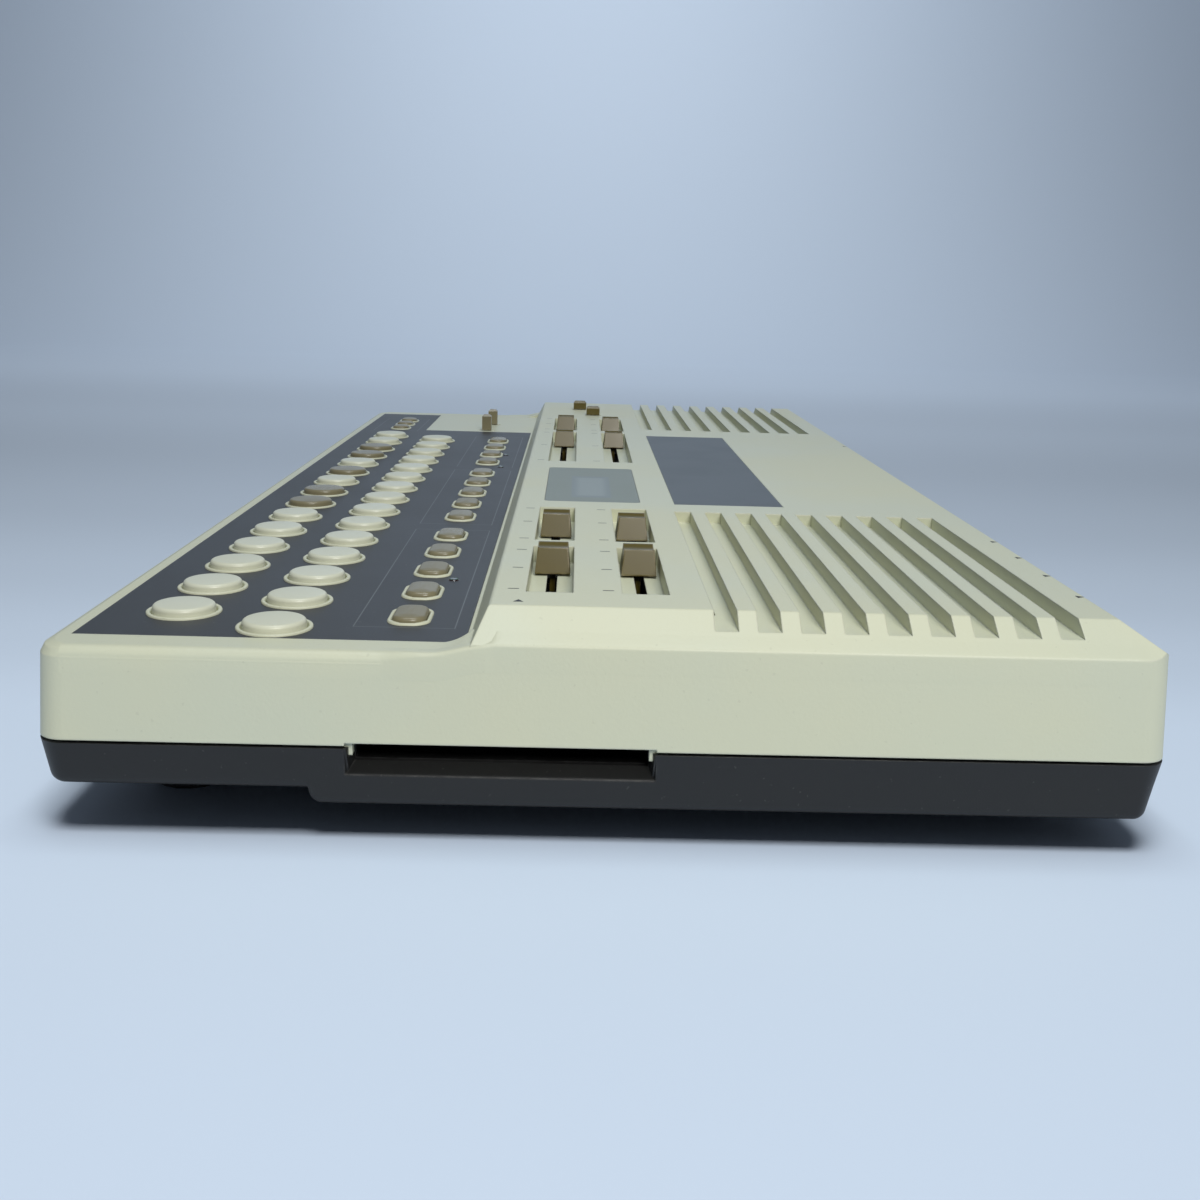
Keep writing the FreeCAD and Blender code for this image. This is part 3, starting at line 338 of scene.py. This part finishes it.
windowLook = {"colour": rgb(0.21, 0.24, 0.205), "aged": rgb(0.215, 0.245, 0.21), "worn": rgb(0.2, 0.22, 0.22),
              "grain": 0.5 * mm, "rough": (0.42, 0.46), "strength": 0.02, "depth": 0.02 * mm,
              "specks": 0.1, "speckColour": rgb(0.35, 0.35, 0.35), "mask": displayPrint}


def makeBoardMaterial():
    mat, tree, shader, where = startMaterial("circuitBoard")
    grain = useGroup(tree, grainGroup)
    tree.links.new(where, grain.inputs["Vector"])
    bricks = tree.nodes.new("ShaderNodeTexBrick")
    bricks.inputs["Scale"].default_value = 220.0
    bricks.inputs["Mortar Size"].default_value = 0.03
    tree.links.new(where, bricks.inputs["Vector"])
    track = rampNode(tree, bricks.outputs["Fac"], 0.3, 0.7)
    colour = mixColour(tree, track, rgb(0.012, 0.07, 0.03), rgb(0.05, 0.17, 0.07))
    colour = mixColour(tree, grain.outputs["Specks"], colour, rgb(0.4, 0.4, 0.38))
    tree.links.new(colour, shader.inputs["Base Color"])
    roughFrom(tree, shader, grain.outputs["Mottle"], 0.25, 0.4)
    bumpFrom(tree, shader, track, 0.3, 0.04 * mm)
    return mat


def makeMetal(name, tone, rough):
    mat, tree, shader, where = startMaterial(name, Metallic=1.0)
    grain = useGroup(tree, grainGroup)
    tree.links.new(where, grain.inputs["Vector"])
    grain.inputs["Grain Size"].default_value = 0.2 * mm
    dark = tuple(c * 0.6 for c in tone[:3]) + (1.0,)
    tree.links.new(mixColour(tree, grain.outputs["Mottle"], tone, dark), shader.inputs["Base Color"])
    roughFrom(tree, shader, grain.outputs["Mottle"], rough, rough + 0.15)
    bumpFrom(tree, shader, grain.outputs["Height"], 0.1, 0.02 * mm)
    return mat


# printed marks: flat ink, a little worn
def makeInk(name, tone):
    mat, tree, shader, where = startMaterial(name)
    grain = useGroup(tree, grainGroup)
    tree.links.new(where, grain.inputs["Vector"])
    pale = tuple(min(1.0, c * 1.6 + 0.02) for c in tone[:3]) + (1.0,)
    tree.links.new(mixColour(tree, grain.outputs["Mottle"], tone, pale), shader.inputs["Base Color"])
    roughFrom(tree, shader, grain.outputs["Mottle"], 0.45, 0.6)
    bumpFrom(tree, shader, grain.outputs["Height"], 0.05, 0.01 * mm)
    return mat


materials = {
    "cream_shell": makePlastic("creamShell", caseLook),
    "dark_shell": makePlastic("darkShell", lowerLook),
    "panel_grey": makePlastic("panelSheet", panelLook),
    "cream_key": makePlastic("creamKey", keyLook),
    "brown_key": makePlastic("brownKey", brownLook),
    "window_grey": makePlastic("windowGrey", windowLook),
    "display_glass": makePlastic("displayFrame", blackLook),
    "plate_grey": makePlastic("plateGrey", plateLook),
    "slider_cap": makePlastic("sliderCap", sliderLook),
    "dark_plastic": makePlastic("darkPlastic", blackLook),
    "board_green": makeBoardMaterial(),
    "mat_rubber": makePlastic("matRubber", matLook),
    "foot_rubber": makePlastic("footRubber", footLook),
    "speaker_steel": makeMetal("speakerSteel", rgb(0.09, 0.09, 0.10), 0.35),
    "screw_steel": makeMetal("screwSteel", rgb(0.55, 0.55, 0.54), 0.3),
}
darkInk = makeInk("darkInk", rgb(0.02, 0.02, 0.02))
nickel = makeMetal("nickel", rgb(0.6, 0.58, 0.54), 0.2)
print("materials made")

slotOf = {s["node"]: s["material_slot"] for s in frame["record"]["subparts"]}
for name, obj in nodes.items():
    obj.data.materials.clear()
    obj.data.materials.append(materials[slotOf[name]])


# moulded pieces have small round edges
def softenEdges(obj, width, segments=3, angle=34):
    mod = obj.modifiers.new("softEdge", "BEVEL")
    mod.width = width
    mod.segments = segments
    mod.limit_method = "ANGLE"
    mod.angle_limit = math.radians(angle)
    mod.use_clamp_overlap = True
    mod.harden_normals = False


for i in range(1, 9):
    softenEdges(nodes["slider_%d" % i], 0.55 * mm, 4)
for i in range(1, 5):
    softenEdges(nodes["lever_%d" % i], 0.45 * mm, 3)
print("cad nodes painted")


def meshObject(name, bm, material, body, smooth=True):
    mesh = bpy.data.meshes.new(name)
    bmesh.ops.recalc_face_normals(bm, faces=bm.faces)
    bm.to_mesh(mesh)
    bm.free()
    if smooth:
        for p in mesh.polygons:
            p.use_smooth = True
    mesh.materials.append(material)
    obj = bpy.data.objects.new(name, mesh)
    bpy.context.scene.collection.objects.link(obj)
    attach(obj, body)
    return obj


# rings of vertices joined by quads; each ring is a list of points of equal length
def skinRings(bm, rings, capStart=True, capEnd=True):
    rows = [[bm.verts.new(p) for p in ring] for ring in rings]
    count = len(rows[0])
    for low, high in zip(rows, rows[1:]):
        for i in range(count):
            j = (i + 1) % count
            bm.faces.new((low[i], low[j], high[j], high[i]))
    if capStart:
        bm.faces.new(list(reversed(rows[0])))
    if capEnd:
        bm.faces.new(rows[-1])
    return rows


def circleRing(x, y, radius, z, sides):
    turns = [2 * math.pi * i / sides for i in range(sides)]
    return [((x + radius * math.cos(a)) * mm, (y + radius * math.sin(a)) * mm, z * mm) for a in turns]


# outline of a rounded oblong about the origin, with its corner radius
def oblongOutline(length, width, radius, steps=8):
    points = []
    for k, (sx, sy) in enumerate(((1, 1), (-1, 1), (-1, -1), (1, -1))):
        for i in range(steps + 1):
            a = math.radians(90 * k + 90 * i / steps)
            points.append((sx * (length / 2 - radius) + radius * math.cos(a),
                           sy * (width / 2 - radius) + radius * math.sin(a)))
    return points


roundKey = {"radius": 6.12 * mm, "edge": 0.85 * mm, "crown": 0.16 * mm, "sides": 64,
            "flange": 7.5 * mm, "flangeThick": 1.15 * mm}


# profile of the key: flange, wall, rounded rim and a slightly crowned top
def keyRings(box, look):
    low, high = box
    cx, cy = (low.x + high.x) / 2, (low.y + high.y) / 2
    top = high.z - look["crown"]
    profile = [(look["flange"], low.z), (look["flange"], low.z + look["flangeThick"]),
               (look["radius"], low.z + look["flangeThick"]), (look["radius"], top - look["edge"])]
    for i in range(1, 8):
        a = math.radians(90 * i / 7)
        profile.append((look["radius"] - look["edge"] * (1 - math.cos(a)), top - look["edge"] * (1 - math.sin(a))))
    inner = look["radius"] - look["edge"]
    for i in range(1, 6):
        share = 1 - i / 6
        profile.append((inner * share, top + look["crown"] * (1 - share ** 2)))
    rings = []
    for r, z in profile:
        ring = []
        for i in range(look["sides"]):
            a = 2 * math.pi * i / look["sides"]
            ring.append((cx + r * math.cos(a), cy + r * math.sin(a), z))
        rings.append(ring)
    return rings


brownKeys = {7, 8, 10, 12, 13}
for row in "ab":
    for number in range(1, 16):
        node = "key_%s_%02d" % (row, number)
        bm = bmesh.new()
        skinRings(bm, keyRings(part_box(node), roundKey))
        brown = row == "a" and number in brownKeys
        slotName = "brown_key" if brown else "cream_key"
        obj = meshObject("keyCap_%s%02d" % (row, number), bm, materials[slotName], node + "_body")
        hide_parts(node)
print("round keys made")

smallCap = {"inset": 0.8, "width": 8.3, "radius": 2.7, "edge": 0.9, "crown": 0.25, "webThick": 1.15,
            "capStart": 1.1}
keyPitch, firstButton, modePitch, stripGap = 20.86, 183.1, 14.5, 6.9
buttonRow, buttonLength = -39.2, 13.0
strips = {
    "select_buttons_1": ([firstButton - i * keyPitch for i in range(5)], buttonRow, buttonLength),
    "select_buttons_2": ([firstButton - 5 * keyPitch - stripGap - i * keyPitch for i in range(5)],
                         buttonRow, buttonLength),
    "select_buttons_3": ([firstButton - 10 * keyPitch - 2 * stripGap - i * keyPitch for i in range(4)],
                         buttonRow, buttonLength),
    "mode_buttons": ([-140.5 - i * modePitch for i in range(3)], -84.3, 10.5),
}


# one soft-edged cap on its strip
def capRings(x, y, length, look, zLow, zTop):
    rings = []
    span = length - 2 * look["inset"]
    width = look["width"] - 2 * look["inset"]
    levels = [(0.0, zLow), (0.0, zTop - look["edge"] - look["crown"])]
    for i in range(1, 7):
        a = math.radians(90 * i / 6)
        levels.append((look["edge"] * (1 - math.cos(a)), zTop - look["crown"] - look["edge"] * (1 - math.sin(a))))
    levels.append((look["edge"] + 0.9, zTop - look["crown"] * 0.35))
    levels.append((look["edge"] + 1.8, zTop))
    for inset, z in levels:
        radius = max(look["radius"] - inset, 0.25)
        ring = [((x + a) * mm, (y + b) * mm, z * mm)
                for a, b in oblongOutline(span - 2 * inset, width - 2 * inset, radius, 6)]
        rings.append(ring)
    return rings


for node, (places, y, length) in strips.items():
    low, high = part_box(node)
    bm = bmesh.new()
    base = low.z / mm
    strip = [(low.x, low.y), (high.x, low.y), (high.x, high.y), (low.x, high.y)]
    skinRings(bm, [[(a, b, z * mm) for a, b in strip] for z in (base, base + smallCap["webThick"])])
    for x in places:
        skinRings(bm, capRings(x, y, length, smallCap, base + smallCap["capStart"], high.z / mm))
    obj = meshObject("caps_" + node, bm, materials["brown_key"], node + "_body")
    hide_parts(node)
print("small buttons made")


# smooth moulded collars over the flat-sided ones of the shell
collarShape = {"outer": 7.31, "inner": 6.52, "round": 0.2, "top": 36.44, "bottom": 35.55, "sides": 72, "wall": 0.62,
               "swell": 0.13, "width": 8.3, "corner": 3.5, "depth": 2}


def addRoundCollar(bm, x, y, look):
    outer, inner, ease = look["outer"], look["inner"], look["round"]
    profile = [(outer, look["bottom"]), (outer, look["top"] - ease), (outer - ease * 0.3, look["top"] - ease * 0.3),
               (outer - ease, look["top"]), (inner + ease, look["top"]), (inner + ease * 0.3, look["top"] - ease * 0.3),
               (inner, look["top"] - ease), (inner, look["bottom"] - look["depth"])]
    skinRings(bm, [circleRing(x, y, r, z, look["sides"]) for r, z in profile], False, False)


def addOblongCollar(bm, x, y, length, look):
    ease, wall, swell = look["round"], look["wall"], look["swell"]
    rings = []
    for inset, z in ((-swell, look["bottom"]), (-swell, look["top"] - ease), (ease - swell, look["top"]),
                     (wall - ease, look["top"]), (wall, look["top"] - ease), (wall, look["bottom"] - look["depth"])):
        radius = max(look["corner"] - inset, 0.3)
        rings.append([((x + a) * mm, (y + b) * mm, z * mm)
                      for a, b in oblongOutline(length - 2 * inset, look["width"] - 2 * inset, radius)])
    skinRings(bm, rings, False, False)


bm = bmesh.new()
for row in "ab":
    for number in range(1, 16):
        low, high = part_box("key_%s_%02d" % (row, number))
        addRoundCollar(bm, (low.x + high.x) / 2 / mm, (low.y + high.y) / 2 / mm, collarShape)
for node, (places, y, length) in strips.items():
    for x in places:
        addOblongCollar(bm, x, y, length, collarShape)
collars = meshObject("keyCollars", bm, materials["cream_shell"], "case")
print("collars made")

# rolled top edge along both ends of the case, where the low side sweeps up to the deck's bevel
edgeRoll = {"low": 36.0, "high": 37.9, "start": -33.1, "end": -21.9, "reach": 99.2, "lowRound": 2.0,
            "highRound": 0.8, "blend": 9.0, "slope": 5.6 / 8.4, "lip": 0.05, "seam": 18.5, "draft": 3.0}


def easeStep(t):
    t = min(1.0, max(0.0, t))
    return t * t * (3 - 2 * t)


def rollSection(y, look):
    rise = easeStep((y - look["start"]) / (look["end"] - look["start"]))
    sharp = easeStep((y - look["start"] + look["blend"]) / look["blend"])
    bevel = easeStep((y - look["end"] + 1.0) / 2.0)
    top = look["low"] + (look["high"] - look["low"]) * rise
    radius = look["lowRound"] + (look["highRound"] - look["lowRound"]) * sharp
    tilt = math.atan(look["slope"]) * bevel
    fade = easeStep((look["reach"] - abs(y)) / 2.0)
    # corner point of wall and top, then an arc between them, pushed out over the sharp corner
    lean = math.tan(math.radians(look["draft"]))
    cornerX = caseEnd - (top - look["seam"]) * lean
    turn = math.pi / 2 - tilt
    back = radius * math.tan(turn / 2)
    push = (radius * (1 / math.cos(turn / 2) - 1) * sharp + look["lip"]) * fade
    points = [(cornerX + 5.0 * lean + 0.01, top - 5.0), (cornerX + back * lean + push * 0.9, top - back - 0.4)]
    centreX, centreZ = cornerX - radius + push * 0.7, top - back + push * 0.7
    for i in range(9):
        a = turn * i / 8
        points.append((centreX + radius * math.cos(a), centreZ + radius * math.sin(a)))
    inX = math.sin(tilt)
    points.append((cornerX - (back + 0.8) * math.cos(tilt) + push * 0.4 * inX,
                   top + (back + 0.8) * math.sin(tilt) + push * 0.75))
    points.append((cornerX - 3.6 * math.cos(tilt), top + 3.6 * math.sin(tilt) + 0.012))
    return points


bm = bmesh.new()
for side in (1, -1):
    rows = []
    count = 260
    for k in range(count + 1):
        y = -edgeRoll["reach"] + 2 * edgeRoll["reach"] * k / count
        rows.append([bm.verts.new((side * x * mm, y * mm, z * mm)) for x, z in rollSection(y, edgeRoll)])
    for low, high in zip(rows, rows[1:]):
        for i in range(len(low) - 1):
            bm.faces.new((low[i], low[i + 1], high[i + 1], high[i]))
rolls = meshObject("rolledEdges", bm, materials["cream_shell"], "case")
print("rolled edges made")

# printed marks on the deck: ticks beside the slide controls and small triangles
deckTop = 43.5
inkLift = 0.02


def addFlat(bm, points):
    z = deckTop + inkLift
    bm.faces.new([bm.verts.new((x * mm, y * mm, z * mm)) for x, y in points])


def addTick(bm, x, y, length, width):
    addFlat(bm, [(x - width / 2, y - length / 2), (x + width / 2, y - length / 2), (x + width / 2, y + length / 2),
                 (x - width / 2, y + length / 2)])


def addTriangle(bm, x, y, size, turn):
    points = []
    for i in range(3):
        a = math.radians(turn + 120 * i)
        points.append((x + size * math.cos(a), y + size * math.sin(a)))
    addFlat(bm, points)


deckPrint = {"tickRows": (-18.6, 0.0), "nearTicks": (187.5, 168.5, 150.0, 137.0, 115.5, 96.5),
             "farTicks": (3.0, -37.0, -76.0, -87.0, -107.0, -127.0), "tick": (2.2, 0.45),
             "jacks": (183.1, 164.2, 145.8, 127.4, -55.0), "jackRow": 94.6, "jackSize": 1.1,
             "card": (197.4, -17.2), "cardSize": 1.2}
bm = bmesh.new()
for places in (deckPrint["nearTicks"], deckPrint["farTicks"]):
    for y in deckPrint["tickRows"]:
        for x in places:
            addTick(bm, x, y, *deckPrint["tick"])
for x in deckPrint["jacks"]:
    addTriangle(bm, x, deckPrint["jackRow"], deckPrint["jackSize"], 90)
addTriangle(bm, *deckPrint["card"], deckPrint["cardSize"], 180)
meshObject("deckMarks", bm, darkInk, "case", smooth=False)
print("printed marks made")

# dark lenses over the lamps
lensShape = {"radius": 1.22, "y": -33.8, "places": (149.6, -29.3, -61.6), "sides": 32,
             "profile": ((1.0, 35.7), (1.0, 35.95), (0.92, 36.14), (0.7, 36.27), (0.4, 36.34), (0.1, 36.36))}
lensLook = {"colour": rgb(0.02, 0.006, 0.006), "aged": rgb(0.022, 0.007, 0.007), "worn": rgb(0.03, 0.01, 0.01),
            "grain": 0.3 * mm, "rough": (0.05, 0.08), "strength": 0.02, "depth": 0.01 * mm, "coat": 1.0}
bm = bmesh.new()
for x in lensShape["places"]:
    skinRings(bm, [circleRing(x, lensShape["y"], lensShape["radius"] * share, z, lensShape["sides"])
                   for share, z in lensShape["profile"]])
meshObject("lampLenses", bm, makePlastic("lampLens", lensLook), "case")
print("lamp lenses made")

# outer skin of the lower shell: upright ends, leaning sides, a stepped underside with rolled edges
lowerShape = {"x": 210.0, "y": 105.0, "corner": 5.6, "top": 17.88, "deep": 6.66, "shallow": 9.76, "step": -55.0,
              "stepRound": 2.4, "stepRows": (-0.05, 0.0, 0.2, 0.5, 0.9, 1.4, 1.9, 2.4), "stepDrop": 0.6, "lean": 2.55,
              "leanShare": 0.98, "proud": 0.03, "endLean": 0.45, "edge": 1.5, "edgeSteps": 6, "under": 6.6,
              "slotLow": 12.85, "slotSides": (-48.15, 9.15), "slotClear": 0.8, "lipBack": (206.4, 14.52),
              "lipTaper": 1.3, "slotRows": 3, "endRows": 90, "sideRows": 40, "cornerRows": 12}


# outline of the case seen from above: each point has its outward direction and its place
def lowerOutline(look):
    straightY = look["y"] - look["corner"]
    straightX = look["x"] - look["corner"]
    ends, sides, steps = look["endRows"], look["sideRows"], look["cornerRows"]
    near = [-straightY + 2 * straightY * i / ends for i in range(ends + 1)]
    near = [v for v in near if min(abs(v - q) for q in look["slotSides"]) > look["slotClear"]]
    near = sorted(near + list(look["slotSides"]) + [look["step"] + d for d in look["stepRows"]])

    def corner(quarter, signX, signY):
        points = []
        for i in range(1, steps):
            a = math.radians(90 * quarter + 90 * i / steps)
            points.append((math.cos(a), math.sin(a), signX * straightX + look["corner"] * math.cos(a),
                           signY * straightY + look["corner"] * math.sin(a)))
        return points

    points = [(1.0, 0.0, look["x"], v) for v in near]
    points += corner(0, 1, 1)
    points += [(0.0, 1.0, straightX - 2 * straightX * i / sides, look["y"]) for i in range(sides + 1)]
    points += corner(1, -1, 1)
    points += [(-1.0, 0.0, -look["x"], v) for v in reversed(near)]
    points += corner(2, -1, -1)
    points += [(0.0, -1.0, -straightX + 2 * straightX * i / sides, -look["y"]) for i in range(sides + 1)]
    points += corner(3, 1, -1)
    return points


def underLevel(y, look):
    if y < look["step"]:
        return look["shallow"]
    t = (y - look["step"]) / look["stepRound"]
    if t >= 1:
        return look["deep"]
    drop = look["shallow"] - look["deep"]
    return look["deep"] + (drop - look["stepDrop"]) * (1 - math.sqrt(max(0.0, 1 - (1 - t) ** 2)))


def makeLowerSkin(look):
    bm = bmesh.new()
    outline = lowerOutline(look)
    slotShare = (look["top"] - look["slotLow"]) / (look["top"] - look["deep"] - look["edge"])
    shares = [0.0, 0.08, slotShare * 0.5, slotShare, (1 + slotShare) / 2, 1.0]
    steps = look["edgeSteps"]
    rows = []
    for k in range(len(shares) + steps + 1):
        row = []
        for nx, ny, x, y in outline:
            low = underLevel(y, look)
            foot = low + look["edge"]
            if k < len(shares):
                z = look["top"] + (foot - look["top"]) * shares[k]
                inset = 0.0
            elif k < len(shares) + steps:
                a = math.radians(90 * (k - len(shares) + 1) / steps)
                z = foot - look["edge"] * math.sin(a)
                inset = look["edge"] * (1 - math.cos(a))
            else:
                z = low
                inset = look["under"]
            share = (look["top"] - z) / (look["top"] - look["deep"])
            leanX = (look["endLean"] * share + inset) * nx
            leanY = (look["lean"] * share * look["leanShare"] - look["proud"] + inset) * ny
            row.append(bm.verts.new(((x - leanX) * mm, (y - leanY) * mm, z * mm)))
        rows.append(row)
    count = len(outline)
    left, right = look["slotSides"]
    for k in range(len(rows) - 1):
        for i in range(count):
            j = (i + 1) % count
            a, b = outline[i], outline[j]
            atSlot = a[0] == 1.0 and b[0] == 1.0 and a[3] >= left - 0.01 and b[3] <= right + 0.01
            if atSlot and k < look["slotRows"]:
                continue
            bm.faces.new((rows[k][i], rows[k][j], rows[k + 1][j], rows[k + 1][i]))
    # sloping lip and cheeks of the card slot
    face = look["x"] - look["endLean"] * 0.45
    backX, backZ = look["lipBack"]
    taper = look["lipTaper"]
    lip = [(face, left, look["slotLow"]), (face, right, look["slotLow"]), (backX, right - taper, backZ),
           (backX, left + taper, backZ)]
    bm.faces.new([bm.verts.new((a * mm, b * mm, c * mm)) for a, b, c in lip])
    for y, way in ((left, 1), (right, -1)):
        cheek = [(look["x"] - 0.02, y, look["top"]), (face, y, look["slotLow"]), (backX, y + taper * way, backZ),
                 (backX, y + taper * way, look["top"])]
        bm.faces.new([bm.verts.new((a * mm, b * mm, c * mm)) for a, b, c in cheek])
    obj = meshObject("lowerSkin", bm, materials["dark_shell"], "case")


makeLowerSkin(lowerShape)
print("lower skin made")

# metal sleeves in the rear sockets
sleeve = {"outer": 3.2, "inner": 2.75, "depth": 12.0, "sides": 40, "set": 0.3,
          "places": (27.0, 45.6, 64.2, 82.8, 265.0)}
bm = bmesh.new()
jackLow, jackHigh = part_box("rear_jacks")
jackZ = (jackLow.z + jackHigh.z) / 2
for d in sleeve["places"]:
    x = (caseEnd - d) * mm
    yFace = jackHigh.y - sleeve["set"] * mm
    rings = []
    for r, y in ((sleeve["outer"], yFace - sleeve["depth"] * mm), (sleeve["outer"], yFace), (sleeve["inner"], yFace),
                 (sleeve["inner"], yFace - sleeve["depth"] * mm)):
        rings.append([(x + r * mm * math.cos(2 * math.pi * i / sleeve["sides"]), y,
                       jackZ + r * mm * math.sin(2 * math.pi * i / sleeve["sides"])) for i in range(sleeve["sides"])])
    skinRings(bm, rings, False, False)
meshObject("socketSleeves", bm, nickel, "case")
print("socket sleeves made")

# camera, solved from the photo
eye = Vector((434.26, -7.09, 102.89)) * mm
pitch, yaw, roll = math.radians(13.949), math.radians(-1.271), math.radians(1.682)
forward = Vector((-math.cos(pitch) * math.cos(yaw), -math.cos(pitch) * math.sin(yaw), -math.sin(pitch)))
side = forward.cross(Vector((0, 0, 1))).normalized()
upward = side.cross(forward)
xAxis = side * math.cos(roll) + upward * math.sin(roll)
yAxis = upward * math.cos(roll) - side * math.sin(roll)
focalPixels, photoPixels, sensorWidth = 1296.5, 1200, 36.0
camData = bpy.data.cameras.new("photoCamera")
camData.sensor_width = sensorWidth
camData.lens = focalPixels / photoPixels * sensorWidth
camData.clip_start = 0.01
camData.clip_end = 50.0
cam = bpy.data.objects.new("photoCamera", camData)
bpy.context.scene.collection.objects.link(cam)
cam.matrix_world = Matrix((
    (xAxis.x, yAxis.x, -forward.x, eye.x),
    (xAxis.y, yAxis.y, -forward.y, eye.y),
    (xAxis.z, yAxis.z, -forward.z, eye.z),
    (0, 0, 0, 1)))
bpy.context.scene.camera = cam

# sweep: floor with a far curved wall, pale blue-grey, with painted shade behind and under the part
sweepShape = {"near": 1.6, "far": -1.9, "half": 2.6, "bend": 0.7, "height": 2.6, "tint": rgb(0.60, 0.68, 0.78),
              "paper": (0.60, 0.685, 0.79), "fleckRange": 30.0,
              # painted shade: brightness of the paper colour along X, darkest just behind and under the part
              "shade": ((-1.9, 1.0), (-0.93, 0.97), (-0.54, 0.82), (-0.28, 0.68), (-0.126, 0.70), (0.0, 0.78),
                        (0.08, 0.86), (0.14, 0.94), (0.3, 0.95), (1.6, 0.92))}


def makeSweep(look):
    bm = bmesh.new()
    profile = [(look["near"], 0.0), (look["far"] + look["bend"], 0.0)]
    for i in range(1, 17):
        a = math.radians(90 * i / 16)
        profile.append((look["far"] + look["bend"] * (1 - math.sin(a)), look["bend"] * (1 - math.cos(a))))
    profile.append((look["far"], look["height"]))
    rows = []
    for x, z in profile:
        rows.append([bm.verts.new((x, -look["half"], z)), bm.verts.new((x, look["half"], z))])
    for low, high in zip(rows, rows[1:]):
        bm.faces.new((low[0], low[1], high[1], high[0]))
    mesh = bpy.data.meshes.new("sweep")
    bm.to_mesh(mesh)
    bm.free()
    for p in mesh.polygons:
        p.use_smooth = True
    obj = bpy.data.objects.new("sweep", mesh)
    bpy.context.scene.collection.objects.link(obj)
    mat, tree, shader, where = startMaterial("sweepPaper", Roughness=0.6)
    paper = tree.nodes.new("ShaderNodeTexNoise")
    paper.inputs["Scale"].default_value = 3.0
    tree.links.new(where, paper.inputs["Vector"])
    # painted shade: the paper's colour darkens in a soft band behind the part and under it
    shade = tree.nodes.new("ShaderNodeValToRGB")
    stops = look["shade"]
    ramp = shade.color_ramp
    ramp.interpolation = "EASE"
    while len(ramp.elements) < len(stops):
        ramp.elements.new(0.5)
    for element, (x, value) in zip(ramp.elements, stops):
        element.position = (x - look["far"]) / (look["near"] - look["far"])
        element.color = rgb(*(value * tone for tone in look["paper"]))
    span = tree.nodes.new("ShaderNodeMapRange")
    span.inputs["From Min"].default_value = look["far"]
    span.inputs["From Max"].default_value = look["near"]
    tree.links.new(coordinateParts(tree, where)[0], span.inputs["Value"])
    tree.links.new(span.outputs["Result"], shade.inputs["Fac"])
    fleck = rampNode(tree, paper.outputs["Fac"], 0.0, look["fleckRange"])
    tree.links.new(mixColour(tree, fleck, shade.outputs["Color"], look["tint"]), shader.inputs["Base Color"])
    mesh.materials.append(mat)
    return obj


floor = makeSweep(sweepShape)


def addLight(name, place, target, size, power, tone=(1.0, 1.0, 1.0)):
    data = bpy.data.lights.new(name, "AREA")
    data.shape = "RECTANGLE"
    data.size, data.size_y = size
    data.energy = power
    data.color = tone
    obj = bpy.data.objects.new(name, data)
    obj.location = place
    obj.rotation_mode = "QUATERNION"
    obj.rotation_quaternion = (Vector(target) - Vector(place)).to_track_quat("-Z", "Y")
    bpy.context.scene.collection.objects.link(obj)
    return obj


frontLight = addLight("frontLight", (0.86, 0.2, 0.6), (0.12, 0.0, 0.0), (0.35, 0.35), 5.9, (1.0, 0.985, 0.95))
addLight("topLight", (0.12, 0.0, 1.15), (0.0, 0.0, 0.0), (0.5, 0.5), 4.9, (0.88, 0.95, 1.0))
floorLight = addLight("floorLight", (0.5, 0.0, 1.15), (0.5, 0.0, 0.0), (0.4, 0.4), 9.5, (0.97, 0.98, 1.0))

# the front light leaves the floor out, so the shadow under the case stays dark; the floor has its own light
flagged = bpy.data.collections.new("flaggedFloor")
flagged.objects.link(floor)
frontLight.light_linking.receiver_collection = flagged
for held in flagged.collection_objects:
    held.light_linking.link_state = "EXCLUDE"
lit = bpy.data.collections.new("litFloor")
lit.objects.link(floor)
floorLight.light_linking.receiver_collection = lit
addLight("backdropLight", (-1.1, 0.0, 1.15), (-1.9, 0.0, 0.4), (1.1, 0.6), 8.5, (0.92, 0.96, 1.0))

world = bpy.data.worlds.new("softWorld")
bpy.context.scene.world = world
world.use_nodes = True
world.node_tree.nodes["Background"].inputs["Color"].default_value = (0.72, 0.80, 0.95, 1.0)
world.node_tree.nodes["Background"].inputs["Strength"].default_value = 0.12
bpy.context.scene.view_settings.view_transform = "Standard"
print("camera and light made")
